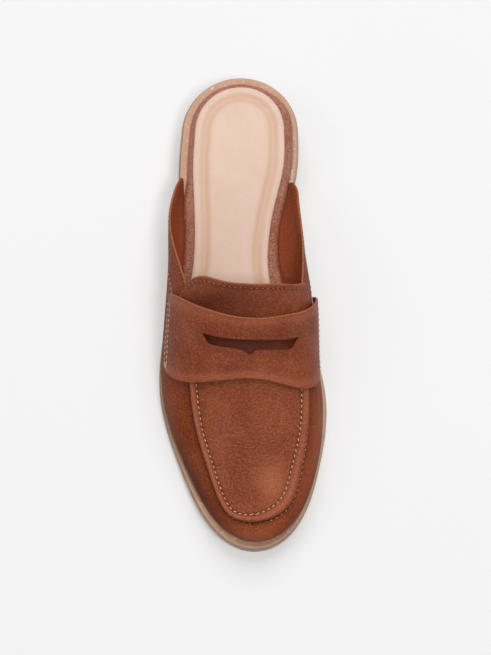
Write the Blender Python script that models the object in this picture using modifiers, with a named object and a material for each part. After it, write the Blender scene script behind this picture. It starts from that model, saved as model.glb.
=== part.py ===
# Penny loafer mule with a low block heel, right foot. Metres, +Z up.
# The toe points to -Y, the big-toe (medial) side is +X, and the origin is
# the centre of the heel's flat underside, on the floor.

import bpy
import bmesh
import numpy as np
from math import pi
from mathutils.kdtree import KDTree

# Driving dimensions
SOLE_LENGTH = 0.264
BALL_WIDTH = 0.0925
INSTEP_HEIGHT = 0.064
HEEL_HEIGHT = 0.0205
TOE_SPRING = 0.010
HEEL_LENGTH = 0.062

# Layers of the bottom
OUTSOLE_THICKNESS = 0.005
WELT_THICKNESS = 0.003
WELT_STEP = 0.0010
FOOTBED_THICKNESS = 0.0050
FOOTBED_EDGE_RADIUS = 0.0016
SOCK_THICKNESS = 0.0012
SOCK_INSET = 0.0034
LIFT_THICKNESS = 0.005
HEEL_STEP = 0.0012
HEEL_TAPER = 0.0022
BREAST_CURVE = 0.004
EDGE_BEVEL = 0.0006

# Leather
UPPER_WALL = 0.0019
APRON_WALL = 0.0012
STRAP_WALL = 0.0014
SEAM_RIDGE = 0.0012
SEAM_RIDGE_WIDTH = 0.0036
STRAP_LIFT = 0.0028
TONGUE_OVERHANG = 0.0010

# Clearances between pieces that touch
GAP = 0.0003
SEATED_GAP = 0.00045

# Where the bottom changes, as shares of the sole's length from the heel's back
HEEL_ROUND = 0.115
SEAT_END = 0.14
BALL_FLAT_START = 0.58
BALL_FLAT_END = 0.70
TOE_FROM = 0.75

# Where the upper begins and ends, as shares of the sole's length
WING_TIP_LATERAL = 0.221
WING_TIP_MEDIAL = 0.231
THROAT = 0.475
SPINE_POLE = 0.905


def columns(names, rows):
    """A short table as one array for each named column."""
    return dict(zip(names.split(), np.array(rows, float).T))


# The sole's outline before its ends are rounded, in shares of BALL_WIDTH.
SOLE = columns("along centre half", [
    (0.00, 0.005, 0.341),
    (0.10, 0.000, 0.348),
    (0.20, -0.012, 0.357),
    (0.30, -0.042, 0.323),
    (0.40, -0.054, 0.325),
    (0.50, -0.034, 0.403),
    (0.60, -0.004, 0.477),
    (0.70, 0.026, 0.493),
    (0.80, 0.052, 0.444),
    (0.90, 0.073, 0.421),
    (1.00, 0.087, 0.427),
])

# The upper's crest: height above the welt in shares of INSTEP_HEIGHT, and
# sideways place in shares of BALL_WIDTH.
CREST = columns("along height side", [
    (0.20, 0.880, 0.000),
    (0.30, 0.990, 0.010),
    (0.40, 1.040, 0.030),
    (0.48, 1.000, 0.045),
    (0.56, 0.840, 0.050),
    (0.66, 0.650, 0.060),
    (0.75, 0.528, 0.070),
    (0.85, 0.378, 0.080),
    (0.905, 0.300, 0.086),
])

# How each side wall leaves the welt and arrives at the crest. Rise is in
# shares of INSTEP_HEIGHT, flare in shares of BALL_WIDTH, and reach in shares
# of the way from the crest to the welt.
WALLS = columns("along inset rise_lateral flare_lateral reach_lateral rise_medial flare_medial reach_medial", [
    (0.20, 0.012, 0.24, -0.02, 1.08, 0.24, 0.02, 1.10),
    (0.30, 0.014, 0.26, 0.17, 1.02, 0.28, 0.22, 1.20),
    (0.40, 0.020, 0.32, 0.20, 0.80, 0.32, 0.31, 1.14),
    (0.50, 0.024, 0.36, 0.13, 0.69, 0.36, 0.23, 0.94),
    (0.60, 0.027, 0.34, 0.07, 0.61, 0.34, 0.06, 0.72),
    (0.70, 0.031, 0.30, 0.05, 0.60, 0.32, 0.02, 0.66),
    (0.80, 0.033, 0.26, 0.018, 0.60, 0.28, 0.07, 0.62),
    (0.90, 0.043, 0.22, 0.005, 0.60, 0.23, 0.085, 0.60),
    (1.00, 0.050, 0.20, 0.010, 0.60, 0.20, 0.010, 0.60),
])

# The collar on each side, from the wing's tip (0) to the throat's corner (1),
# as a share of the way up to that corner.
COLLAR = columns("share lateral medial", [
    (0.00, 0.07, 0.06),
    (0.06, 0.24, 0.26),
    (0.16, 0.38, 0.38),
    (0.32, 0.51, 0.50),
    (0.55, 0.67, 0.66),
    (0.78, 0.84, 0.84),
    (1.00, 1.00, 1.00),
])

# The apron's edge on each side, as a share of the way from welt to crest.
SEAM = columns("along lateral medial", [
    (0.475, 0.560, 0.520),
    (0.484, 0.535, 0.470),
    (0.494, 0.508, 0.434),
    (0.505, 0.480, 0.410),
    (0.560, 0.510, 0.430),
    (0.660, 0.570, 0.480),
    (0.760, 0.550, 0.490),
    (0.850, 0.530, 0.508),
    (0.900, 0.494, 0.508),
    (0.925, 0.490, 0.550),
    (0.950, 0.544, 0.600),
    (0.975, 0.610, 0.638),
    (1.000, 0.652, 0.652),
])

# The tongue's rear edge: how far it stands in front of the throat's corners,
# across from the lateral corner (0) to the medial one (1).
TONGUE = columns("across forward", [
    (0.00, 0.000),
    (0.12, -0.012),
    (0.30, 0.000),
    (0.50, 0.008),
    (0.75, 0.006),
    (0.90, 0.005),
    (1.00, 0.000),
])

# The saddle strap's edges as shares of the sole's length, and how far it stands
# off the upper in shares of STRAP_LIFT, from its lateral end (0) to its medial.
STRAP = columns("across rear front lift", [
    (0.00, 0.483, 0.624, 0.00),
    (0.08, 0.490, 0.645, 0.80),
    (0.18, 0.507, 0.660, 1.15),
    (0.28, 0.523, 0.663, 1.30),
    (0.40, 0.538, 0.660, 1.20),
    (0.50, 0.541, 0.659, 1.05),
    (0.62, 0.535, 0.668, 1.00),
    (0.75, 0.525, 0.675, 1.00),
    (0.85, 0.510, 0.668, 0.90),
    (0.92, 0.498, 0.656, 0.55),
    (1.00, 0.488, 0.640, 0.00),
])

# How far up each side wall the strap's ends stop, at its rear and front edges.
STRAP_ENDS = columns("down lateral medial", [
    (0.00, 0.39, 0.24),
    (1.00, 0.30, 0.24),
])

# The slot in the strap, in shares across it and from its rear edge to its front.
SLOT = columns("across down", [
    (0.259, 0.333),
    (0.348, 0.355),
    (0.472, 0.365),
    (0.616, 0.356),
    (0.717, 0.323),
    (0.705, 0.375),
    (0.676, 0.470),
    (0.584, 0.509),
    (0.499, 0.529),
    (0.487, 0.555),
    (0.476, 0.590),
    (0.468, 0.609),
    (0.459, 0.587),
    (0.448, 0.553),
    (0.439, 0.537),
    (0.377, 0.494),
    (0.294, 0.465),
    (0.270, 0.390),
])

LATERAL = -1
MEDIAL = 1
SIDE_NAMES = {LATERAL: "lateral", MEDIAL: "medial"}
WING_TIPS = {LATERAL: WING_TIP_LATERAL, MEDIAL: WING_TIP_MEDIAL}


def smooth(table, name, x):
    """Natural cubic curve through a table's named column."""
    xs = next(iter(table.values()))
    ys = table[name]
    steps = np.diff(xs)
    slopes = np.diff(ys) / steps
    system = np.eye(len(xs))
    right = np.zeros(len(xs))
    for i in range(1, len(xs) - 1):
        system[i, i - 1:i + 2] = steps[i - 1], 2 * (steps[i - 1] + steps[i]), steps[i]
        right[i] = 6 * (slopes[i] - slopes[i - 1])
    bend = np.linalg.solve(system, right)
    x = np.clip(x, xs[0], xs[-1])
    i = np.clip(np.searchsorted(xs, x) - 1, 0, len(xs) - 2)
    a = xs[i + 1] - x
    b = x - xs[i]
    h = steps[i]
    cubic = (bend[i] * a ** 3 + bend[i + 1] * b ** 3) / (6 * h)
    return cubic + (ys[i] / h - bend[i] * h / 6) * a + (ys[i + 1] / h - bend[i + 1] * h / 6) * b


def ease(t):
    """0 to 1 with level ends."""
    t = np.clip(t, 0, 1)
    return t * t * (3 - 2 * t)


def y_at(along):
    """World y of a share of the sole's length."""
    return HEEL_LENGTH / 2 - np.asarray(along, float) * SOLE_LENGTH


def along_at(y):
    return (HEEL_LENGTH / 2 - np.asarray(y, float)) / SOLE_LENGTH


def underside(along):
    """Height of the outsole's underside: heel seat, arch, flat ball and toe spring."""
    arch = ease((BALL_FLAT_START - along) / (BALL_FLAT_START - SEAT_END))
    toe = np.clip((along - BALL_FLAT_END) / (1 - BALL_FLAT_END), 0, None)
    return HEEL_HEIGHT * arch + TOE_SPRING * toe ** 2


def sole_edge(side, along, inset=0.0):
    """Plan point on the sole's outline, moved in square to it."""

    def outline(s):
        back = np.clip(1 - s / HEEL_ROUND, 0, 1)
        front = np.clip((s - TOE_FROM) / (1 - TOE_FROM), 0, 1)
        rounding = np.sqrt((1 - back ** 2) * (1 - front ** 2))
        x = smooth(SOLE, "centre", s) + side * smooth(SOLE, "half", s) * rounding
        return np.stack([x * BALL_WIDTH, y_at(s)], -1)

    along = np.clip(np.asarray(along, float), 0, 1)
    step = 1e-7
    tangent = outline(np.clip(along + step, 0, 1)) - outline(np.clip(along - step, 0, 1))
    outward = np.stack([-tangent[..., 1], tangent[..., 0]], -1) * side
    outward /= np.linalg.norm(outward, axis=-1, keepdims=True)
    outward[along <= 0] = (0, 1)
    outward[along >= 1] = (0, -1)
    return outline(along) - outward * np.asarray(inset)[..., None], outward


def sole_stations(end=1.0, middle=16, ends=9):
    """Stations from heel to toe, closer where the outline turns."""
    quarter = np.linspace(0, pi / 2, ends)
    heel = HEEL_ROUND * (1 - np.cos(quarter))
    run = np.linspace(HEEL_ROUND, TOE_FROM, middle)[1:-1]
    toe = TOE_FROM + (1 - TOE_FROM) * np.sin(quarter)
    stations = np.concatenate([heel, run, toe])
    if end < 1:
        stations = np.append(stations[stations < end - 0.01], end)
    return stations


def feather_inset(along):
    """From the sole's edge to the outside of the upper where it meets the welt."""
    return smooth(WALLS, "inset", along) * BALL_WIDTH


def feather_height(along):
    return underside(along) + OUTSOLE_THICKNESS + WELT_THICKNESS + 3 * GAP


def toe_fan(station):
    """Share of the sole at the welt and on the crest for one rib of the upper.

    The ribs stand square across the shoe up to TOE_FROM and fan out round the toe."""
    q = np.clip((station - TOE_FROM) / (1 - TOE_FROM), 0, 1)
    first = 2 / pi
    angle = pi / 2 * (first * q + (1 - first) * q ** 2)
    welt = np.where(q > 0, TOE_FROM + (1 - TOE_FROM) * np.sin(angle), station)
    crest = station - (1 - SPINE_POLE) * q ** 2
    return welt, crest


def crest_point(along):
    z = feather_height(along) + smooth(CREST, "height", along) * INSTEP_HEIGHT
    return np.stack([smooth(CREST, "side", along) * BALL_WIDTH, y_at(along), z], -1)


def upper_point(side, station, up):
    """Outside of the upper on one side: up runs from 0 at the welt to 1 at the crest."""
    station = np.asarray(station, float)
    up = np.asarray(up, float)[..., None]
    welt, crest = toe_fan(station)
    name = SIDE_NAMES[side]
    plan, outward = sole_edge(side, welt, feather_inset(welt))
    foot = np.concatenate([plan, feather_height(welt)[..., None]], -1)
    top = crest_point(crest)
    step = 0.002
    slope = (crest_point(crest + step)[..., 2] - crest_point(crest - step)[..., 2]) / (2 * step * SOLE_LENGTH)
    rise = smooth(WALLS, "rise_" + name, station) * INSTEP_HEIGHT
    flare = smooth(WALLS, "flare_" + name, station)[..., None] * BALL_WIDTH
    leave = foot.copy()
    leave[..., :2] += outward * flare
    leave[..., 2] += rise
    way = foot - top
    reach = smooth(WALLS, "reach_" + name, station)[..., None] * way
    arrive = top + reach
    arrive[..., 2] = top[..., 2] - reach[..., 1] * slope
    down = 1 - up
    return down ** 3 * foot + 3 * down ** 2 * up * leave + 3 * down * up ** 2 * arrive + up ** 3 * top


def upper_across(station, across):
    """Outside of the upper: across runs from -1 at the lateral welt, over the crest at 0, to 1."""
    lateral = upper_point(LATERAL, station, 1 + np.minimum(across, 0))
    medial = upper_point(MEDIAL, station, 1 - np.maximum(across, 0))
    return np.where((np.asarray(across) < 0)[..., None], lateral, medial)


def seam_across(side, station):
    return side * (1 - smooth(SEAM, SIDE_NAMES[side], station))


def ridge_height(station, from_seam):
    """The rolled moc seam: full height in front of the strap, low under it, none on the tongue."""
    strength = 0.4 * ease((station - 0.52) / 0.04) + 0.6 * ease((station - 0.62) / 0.04)
    shape = np.clip(1 - (from_seam / SEAM_RIDGE_WIDTH - 0.5) ** 2 * 4, 0, 1)
    return SEAM_RIDGE * strength * shape


def strap_place(across, down):
    """Where on the upper a point of the strap lies, as (station, across)."""
    rear = smooth(STRAP, "rear", across)
    front = smooth(STRAP, "front", across)
    lateral_end = -1 + smooth(STRAP_ENDS, "lateral", down)
    medial_end = 1 - smooth(STRAP_ENDS, "medial", down)
    return rear + (front - rear) * down, lateral_end + (medial_end - lateral_end) * across


def make_mesh_object(name, vertices, faces):
    mesh = bpy.data.meshes.new(name)
    mesh.from_pydata([tuple(v) for v in vertices], [], faces)
    mesh.update()
    obj = bpy.data.objects.new(name, mesh)
    parts.objects.link(obj)
    return obj


def grid_faces(rows, count, exists):
    """Quads of a grid stored row by row, where all four corners exist."""
    faces = []
    for i in range(rows - 1):
        for j in range(count - 1):
            corners = [(i, j), (i, j + 1), (i + 1, j + 1), (i + 1, j)]
            if all(exists[c] for c in corners):
                faces.append([r * count + c for r, c in corners])
    return faces


def grid_object(name, points, exists):
    """Open surface through a grid of points, with doubled ones merged."""
    rows, count = exists.shape
    obj = make_mesh_object(name, points.reshape(-1, 3), grid_faces(rows, count, exists))
    bm = bmesh.new()
    bm.from_mesh(obj.data)
    loose = [v for v in bm.verts if not v.link_faces]
    bmesh.ops.delete(bm, geom=loose, context='VERTS')
    bmesh.ops.remove_doubles(bm, verts=bm.verts, dist=0.00002)
    bmesh.ops.recalc_face_normals(bm, faces=bm.faces)
    highest = max(bm.verts, key=lambda v: v.co.z)
    if highest.normal.z < 0:
        bmesh.ops.reverse_faces(bm, faces=bm.faces)
    bm.to_mesh(obj.data)
    bm.free()
    return obj


def thicken(obj, wall, inward):
    shell = obj.modifiers.new("Wall", 'SOLIDIFY')
    shell.thickness = wall
    shell.offset = -1 if inward else 1
    shell.use_even_offset = True
    return shell


def finish(obj, material, sharp_angle=0.7):
    obj.data.materials.append(material)
    obj.data.shade_smooth()
    obj.data.set_sharp_from_angle(angle=sharp_angle)
    return obj


def leather(name, colour, roughness=0.5):
    material = bpy.data.materials.new(name)
    material.use_nodes = True
    shader = material.node_tree.nodes["Principled BSDF"]
    shader.inputs["Base Color"].default_value = (*colour, 1)
    shader.inputs["Roughness"].default_value = roughness
    shader.inputs["Metallic"].default_value = 0.0
    return material


def plate(name, material, stations, top_inset, bottom_inset, top, bottom, bevel, breast=0.0):
    """Layer of the bottom: outlines inset from the sole's edge, between two heights along it."""
    across = np.linspace(-1, 1, 5 if breast else 2)
    ends_round = stations[-1] >= 1

    def sheet(inset, height):
        left, _ = sole_edge(LATERAL, stations, inset(stations))
        right, _ = sole_edge(MEDIAL, stations, inset(stations))
        plan = left[:, None] * (1 - across[:, None]) / 2 + right[:, None] * (1 + across[:, None]) / 2
        bow = breast * ease((stations - stations[-1] + 0.1) / 0.1)
        plan[..., 1] += bow[:, None] * (1 - across ** 2)
        return np.concatenate([plan, height(along_at(plan[..., 1]))[..., None]], -1)

    upper_sheet = sheet(top_inset, top)
    lower_sheet = sheet(bottom_inset, bottom)
    rows, count = upper_sheet.shape[:2]
    half = rows * count
    faces = grid_faces(rows, count, np.ones((rows, count), bool))
    faces += [[half + k for k in reversed(face)] for face in faces]
    rim = [i * count for i in range(rows)]
    rim += [(rows - 1) * count + j for j in range(1, count)]
    rim += [i * count + count - 1 for i in range(rows - 2, -1, -1)]
    rim += [j for j in range(count - 2, 0, -1)]
    for k, a in enumerate(rim):
        b = rim[(k + 1) % len(rim)]
        faces.append([a, b, half + b, half + a])
    obj = make_mesh_object(name, np.concatenate([upper_sheet, lower_sheet]).reshape(-1, 3), faces)
    bm = bmesh.new()
    bm.from_mesh(obj.data)
    bmesh.ops.remove_doubles(bm, verts=bm.verts, dist=0.00002)
    bmesh.ops.dissolve_degenerate(bm, edges=bm.edges, dist=0.00001)
    bmesh.ops.recalc_face_normals(bm, faces=bm.faces)
    bm.to_mesh(obj.data)
    bm.free()
    rounding = obj.modifiers.new("Edges", 'BEVEL')
    rounding.width = bevel
    rounding.segments = 2
    rounding.limit_method = 'ANGLE'
    rounding.angle_limit = 0.9
    return finish(obj, material)


def constant(value):
    return lambda along: np.full(np.shape(along), float(value))


def layer(offset):
    return lambda along: underside(along) + offset


def make_bottom():
    whole = sole_stations()
    heel = sole_stations(end=HEEL_LENGTH / SOLE_LENGTH)
    plate("outsole", leather("outsole", (0.42, 0.30, 0.20)), whole, constant(0), constant(0),
          layer(OUTSOLE_THICKNESS), layer(0), EDGE_BEVEL)
    welt_bottom = OUTSOLE_THICKNESS + GAP
    welt_top = welt_bottom + WELT_THICKNESS
    plate("welt", leather("welt", (0.50, 0.34, 0.24)), whole, constant(WELT_STEP), constant(WELT_STEP),
          layer(welt_top), layer(welt_bottom), EDGE_BEVEL)

    def footbed_inset(along):
        return feather_inset(along) + UPPER_WALL + 2 * GAP

    def sock_inset(along):
        return footbed_inset(along) + SOCK_INSET

    footbed_bottom = welt_top + GAP
    footbed_top = footbed_bottom + FOOTBED_THICKNESS
    plate("footbed", leather("footbed", (0.26, 0.09, 0.04)), whole, footbed_inset, footbed_inset,
          layer(footbed_top), layer(footbed_bottom), FOOTBED_EDGE_RADIUS)
    sock_bottom = footbed_top + GAP
    plate("insole_sock", leather("insole_sock", (0.75, 0.55, 0.43)), whole, sock_inset, sock_inset,
          layer(sock_bottom + SOCK_THICKNESS), layer(sock_bottom), EDGE_BEVEL / 2)
    plate("heel_block", leather("heel_block", (0.42, 0.28, 0.18)), heel,
          constant(HEEL_STEP), constant(HEEL_STEP + HEEL_TAPER),
          layer(-GAP), constant(LIFT_THICKNESS + GAP), EDGE_BEVEL / 2, BREAST_CURVE)
    plate("heel_top_lift", leather("heel_top_lift", (0.16, 0.11, 0.08), 0.8), heel,
          constant(HEEL_STEP + HEEL_TAPER), constant(HEEL_STEP + HEEL_TAPER),
          constant(LIFT_THICKNESS), constant(0), EDGE_BEVEL, BREAST_CURVE)


def apron_rows(stations, ridge_columns, cells):
    """Across values from the lateral seam to the medial one, with columns kept for the ridge."""
    lateral = seam_across(LATERAL, stations)[:, None]
    medial = seam_across(MEDIAL, stations)[:, None]
    even = lateral + (medial - lateral) * np.linspace(0, 1, 33)
    line = upper_across(np.repeat(stations[:, None], 33, 1), even)
    length = np.linalg.norm(np.diff(line, axis=1), axis=2).sum(1)[:, None]
    band = np.linspace(0, SEAM_RIDGE_WIDTH, ridge_columns + 1)[None] / length
    middle = np.linspace(0, 1, cells + 1)[1:-1]
    inner = band[:, -1:] + (1 - 2 * band[:, -1:]) * middle
    share = np.concatenate([band, inner, 1 - band[:, ::-1]], 1)
    from_seam = np.minimum(share, 1 - share) * length
    return lateral + (medial - lateral) * share, from_seam


def bend_to_tongue(place, overhang, blend=5):
    """Bends the first rows behind the throat to the tongue's rear edge."""
    wave = smooth(TONGUE, "forward", np.linspace(0, 1, place.shape[1])) + overhang
    wave[0] = wave[-1] = 0
    for i in range(blend):
        place[i] += wave * (1 - i / blend)


def vamp_stations(vamp_rows=13, toe_rows=12):
    vamp = np.linspace(THROAT, TOE_FROM, vamp_rows)
    toe = np.linspace(TOE_FROM, 1, toe_rows)[1:]
    return np.concatenate([vamp, toe])


def upper_grid(wing_rows=11, side_cells=7, ridge_columns=2, cells=11):
    """Places (station, across) over the whole upper, and which of them are leather."""
    share = np.linspace(0, 1, wing_rows)[:-1]
    vamp = vamp_stations()
    step = np.linspace(0, 1, side_cells + 1)
    sides = {}
    for side in (LATERAL, MEDIAL):
        name = SIDE_NAMES[side]
        wing = WING_TIPS[side] + (THROAT - WING_TIPS[side]) * share
        collar = smooth(COLLAR, name, share) * smooth(SEAM, name, THROAT)
        up = np.concatenate([collar, smooth(SEAM, name, vamp)])
        place = np.repeat(np.concatenate([wing, vamp])[:, None], side_cells + 1, 1)
        sides[side] = place, side * (1 - up[:, None] * (step if side < 0 else step[::-1]))
    middle, _ = apron_rows(vamp, ridge_columns, cells)
    middle_place = np.repeat(vamp[:, None], middle.shape[1], 1)
    bend_to_tongue(middle_place, TONGUE_OVERHANG / SOLE_LENGTH)
    empty = np.zeros((len(share), middle.shape[1] - 2))
    place = np.concatenate([sides[LATERAL][0], np.concatenate([empty, middle_place[:, 1:-1]]),
                            sides[MEDIAL][0]], 1)
    across = np.concatenate([sides[LATERAL][1], np.concatenate([empty, middle[:, 1:-1]]),
                             sides[MEDIAL][1]], 1)
    exists = np.ones(across.shape, bool)
    exists[:len(share), side_cells + 1:-side_cells - 1] = False
    return place, across, exists


def make_upper():
    place, across, exists = upper_grid()
    obj = grid_object("upper", upper_across(place, across), exists)
    thicken(obj, UPPER_WALL, inward=True)
    return finish(obj, leather("upper", (0.30, 0.10, 0.04)))


def make_apron():
    stations = vamp_stations()
    across, from_seam = apron_rows(stations, 2, 11)
    place = np.repeat(stations[:, None], across.shape[1], 1)
    bend_to_tongue(place, 0.0)
    lift = GAP + ridge_height(place, from_seam)
    obj = raised_grid("apron", place, across, lift)
    thicken(obj, APRON_WALL, inward=False)
    return finish(obj, leather("apron", (0.32, 0.11, 0.045)))


def raised_grid(name, place, across, lift):
    """Open surface that stands off the upper by a height given for each point."""
    points = upper_across(place, across)
    exists = np.ones(place.shape, bool)
    obj = grid_object(name, points, exists)
    tree = KDTree(points[..., 0].size)
    for i, point in enumerate(points.reshape(-1, 3)):
        tree.insert(point, i)
    tree.balance()
    heights = lift.reshape(-1)
    normals = [vertex.normal.copy() for vertex in obj.data.vertices]
    for vertex, normal in zip(obj.data.vertices, normals):
        _, i, _ = tree.find(vertex.co)
        vertex.co += normal * heights[i]
    return obj


def make_strap():
    across_cells = 24
    along_cells = 6
    share, down = np.meshgrid(np.linspace(0, 1, across_cells + 1), np.linspace(0, 1, along_cells + 1),
                              indexing='ij')
    place, across = strap_place(share, down)
    lift = SEATED_GAP + STRAP_LIFT * np.clip(smooth(STRAP, "lift", share), 0, None)
    obj = raised_grid("saddle_strap", place, across, lift)
    thicken(obj, STRAP_WALL, inward=False)
    cut = obj.modifiers.new("Slot", 'BOOLEAN')
    cut.operation = 'DIFFERENCE'
    cut.solver = 'EXACT'
    cut.object = make_slot_cutter()
    return finish(obj, leather("saddle_strap", (0.31, 0.105, 0.042)))


def make_slot_cutter():
    """Upright prism on the slot's outline as it lies on the strap."""
    outline = upper_across(*strap_place(SLOT["across"], SLOT["down"]))
    curve = bpy.data.curves.new("slot_cutter", 'CURVE')
    curve.dimensions = '2D'
    curve.fill_mode = 'BOTH'
    curve.extrude = INSTEP_HEIGHT
    line = curve.splines.new('POLY')
    line.points.add(len(outline) - 1)
    for point, place in zip(line.points, outline):
        point.co = (place[0], place[1], 0, 1)
    line.use_cyclic_u = True
    shape = bpy.data.objects.new("slot_curve", curve)
    shape.location.z = INSTEP_HEIGHT
    cutters.objects.link(shape)
    bpy.context.view_layer.update()
    mesh = bpy.data.meshes.new_from_object(shape.evaluated_get(bpy.context.evaluated_depsgraph_get()))
    bm = bmesh.new()
    bm.from_mesh(mesh)
    bmesh.ops.remove_doubles(bm, verts=bm.verts, dist=0.00001)
    bmesh.ops.recalc_face_normals(bm, faces=bm.faces)
    bm.to_mesh(mesh)
    bm.free()
    cutter = bpy.data.objects.new("slot_cutter", mesh)
    cutter.matrix_world = shape.matrix_world
    bpy.data.objects.remove(shape, do_unlink=True)
    cutters.objects.link(cutter)
    cutter.hide_render = True
    cutter.display_type = 'WIRE'
    return cutter


for old in list(bpy.data.objects):
    bpy.data.objects.remove(old, do_unlink=True)
parts = bpy.data.collections.new("penny_mule")
bpy.context.scene.collection.children.link(parts)
cutters = bpy.data.collections.new("cutters")
bpy.context.scene.collection.children.link(cutters)

make_bottom()
make_upper()
make_apron()
make_strap()
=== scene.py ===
from math import cos, pi, radians, sin

import bpy
import numpy as np
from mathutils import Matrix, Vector
from mathutils.geometry import delaunay_2d_cdt


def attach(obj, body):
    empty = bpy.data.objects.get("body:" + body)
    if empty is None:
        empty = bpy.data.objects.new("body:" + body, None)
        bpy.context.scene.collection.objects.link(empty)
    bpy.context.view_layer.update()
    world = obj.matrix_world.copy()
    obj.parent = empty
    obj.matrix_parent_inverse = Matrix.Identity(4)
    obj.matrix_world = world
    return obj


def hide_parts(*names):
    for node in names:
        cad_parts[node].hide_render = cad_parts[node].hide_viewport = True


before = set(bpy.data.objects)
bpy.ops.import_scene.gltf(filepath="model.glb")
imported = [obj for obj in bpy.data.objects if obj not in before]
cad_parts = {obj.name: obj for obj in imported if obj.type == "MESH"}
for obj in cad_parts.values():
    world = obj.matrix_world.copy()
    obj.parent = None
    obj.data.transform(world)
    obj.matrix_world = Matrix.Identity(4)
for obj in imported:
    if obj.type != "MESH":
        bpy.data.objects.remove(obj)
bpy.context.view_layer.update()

# Driving dimensions, as in the part
SOLE_LENGTH = 0.264
BALL_WIDTH = 0.0925
INSTEP_HEIGHT = 0.064
HEEL_HEIGHT = 0.0205
TOE_SPRING = 0.010
HEEL_LENGTH = 0.062

# Layers of the bottom
OUTSOLE_THICKNESS = 0.005
WELT_THICKNESS = 0.003
WELT_STEP = 0.0010
FOOTBED_THICKNESS = 0.0050
SOCK_THICKNESS = 0.0012
SOCK_INSET = 0.0034
LIFT_THICKNESS = 0.005
HEEL_STEP = 0.0012
HEEL_TAPER = 0.0022
BREAST_CURVE = 0.004

# Leather
UPPER_WALL = 0.0019
APRON_WALL = 0.0012
STRAP_WALL = 0.0014
STRAP_LIFT = 0.0028
TONGUE_OVERHANG = 0.0010
TONGUE_BLEND = 0.115
GAP = 0.0003
SEATED_GAP = 0.00045

# Shares of the sole's length from the heel's back
HEEL_ROUND = 0.115
SEAT_END = 0.14
BALL_FLAT_START = 0.58
BALL_FLAT_END = 0.70
TOE_FROM = 0.75
WING_TIP_LATERAL = 0.221
WING_TIP_MEDIAL = 0.231
THROAT = 0.475
SPINE_POLE = 0.905

# The rolled moc seam, from its outer foot inwards
BEAD_WIDTH = 0.0042
BEAD_HEIGHT = 0.0013
PLUG_STITCH = 0.0047
PLUG_GROOVE = 0.0003

# The padded sock's pressed channel
CHANNEL_FROM_EDGE = 0.0062
CHANNEL_WIDTH = 0.0022
CHANNEL_DEPTH = 0.0010

# Tops of the layers above the outsole's underside, and the hair's breadth between layers
WELT_TOP = OUTSOLE_THICKNESS + GAP + WELT_THICKNESS
BED_TOP = WELT_TOP + GAP + FOOTBED_THICKNESS
SOCK_TOP = BED_TOP + GAP + SOCK_THICKNESS
HAIR = 0.00002
FAR_IN = 0.05
STACK_SHEET = 0.0042

# Rounding of cut leather: on its outside and on its inside
CUT_ROUND = 0.0004
CUT_ROUND_INSIDE = 0.0003
RAW_WIDTH = 0.0003

# The camera: its angle above the floor in degrees, distance, target, lens in mm and shift
CAMERA_ELEVATION = 79
CAMERA_DISTANCE = 1.5
CAMERA_TARGET = (0.0017, -0.104, 0.020)
CAMERA_LENS = 149.35
CAMERA_SHIFT = (0.0038, -0.0163)

LATERAL = -1
MEDIAL = 1
SIDE_NAMES = {LATERAL: "lateral", MEDIAL: "medial"}
WING_TIPS = {LATERAL: WING_TIP_LATERAL, MEDIAL: WING_TIP_MEDIAL}


def columns(names, rows):
    """A short table as one array for each named column."""
    return dict(zip(names.split(), np.array(rows, float).T))


# The sole's outline before its ends are rounded, in shares of BALL_WIDTH
SOLE = columns("along centre half", [
    (0.00, 0.005, 0.341),
    (0.10, 0.000, 0.348),
    (0.20, -0.012, 0.357),
    (0.30, -0.042, 0.323),
    (0.40, -0.054, 0.325),
    (0.50, -0.034, 0.403),
    (0.60, -0.004, 0.477),
    (0.70, 0.026, 0.493),
    (0.80, 0.052, 0.444),
    (0.90, 0.073, 0.421),
    (1.00, 0.087, 0.427),
])

# The crest: height in shares of INSTEP_HEIGHT, sideways place in shares of BALL_WIDTH
CREST = columns("along height side", [
    (0.20, 0.880, 0.000),
    (0.30, 0.990, 0.010),
    (0.40, 1.040, 0.030),
    (0.48, 1.000, 0.045),
    (0.56, 0.840, 0.050),
    (0.66, 0.650, 0.060),
    (0.75, 0.528, 0.070),
    (0.85, 0.378, 0.080),
    (0.905, 0.300, 0.086),
])

# How each side wall leaves the welt and arrives at the crest
WALLS = columns("along inset rise_lateral flare_lateral reach_lateral"
                " rise_medial flare_medial reach_medial", [
    (0.20, 0.012, 0.24, -0.02, 1.08, 0.24, 0.02, 1.10),
    (0.30, 0.014, 0.26, 0.17, 1.02, 0.28, 0.22, 1.20),
    (0.40, 0.020, 0.32, 0.20, 0.80, 0.32, 0.31, 1.14),
    (0.50, 0.024, 0.36, 0.13, 0.69, 0.36, 0.23, 0.94),
    (0.60, 0.027, 0.34, 0.07, 0.61, 0.34, 0.06, 0.72),
    (0.70, 0.031, 0.30, 0.05, 0.60, 0.32, 0.02, 0.66),
    (0.80, 0.033, 0.26, 0.018, 0.60, 0.28, 0.07, 0.62),
    (0.90, 0.043, 0.22, 0.005, 0.60, 0.23, 0.085, 0.60),
    (1.00, 0.050, 0.20, 0.010, 0.60, 0.20, 0.010, 0.60),
])

# The collar, from the wing's tip to the throat's corner, as a share of the way up to that corner
COLLAR = columns("share lateral medial", [
    (0.00, 0.07, 0.06),
    (0.06, 0.24, 0.26),
    (0.16, 0.38, 0.38),
    (0.32, 0.51, 0.50),
    (0.55, 0.67, 0.66),
    (0.78, 0.84, 0.84),
    (1.00, 1.00, 1.00),
])

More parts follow.
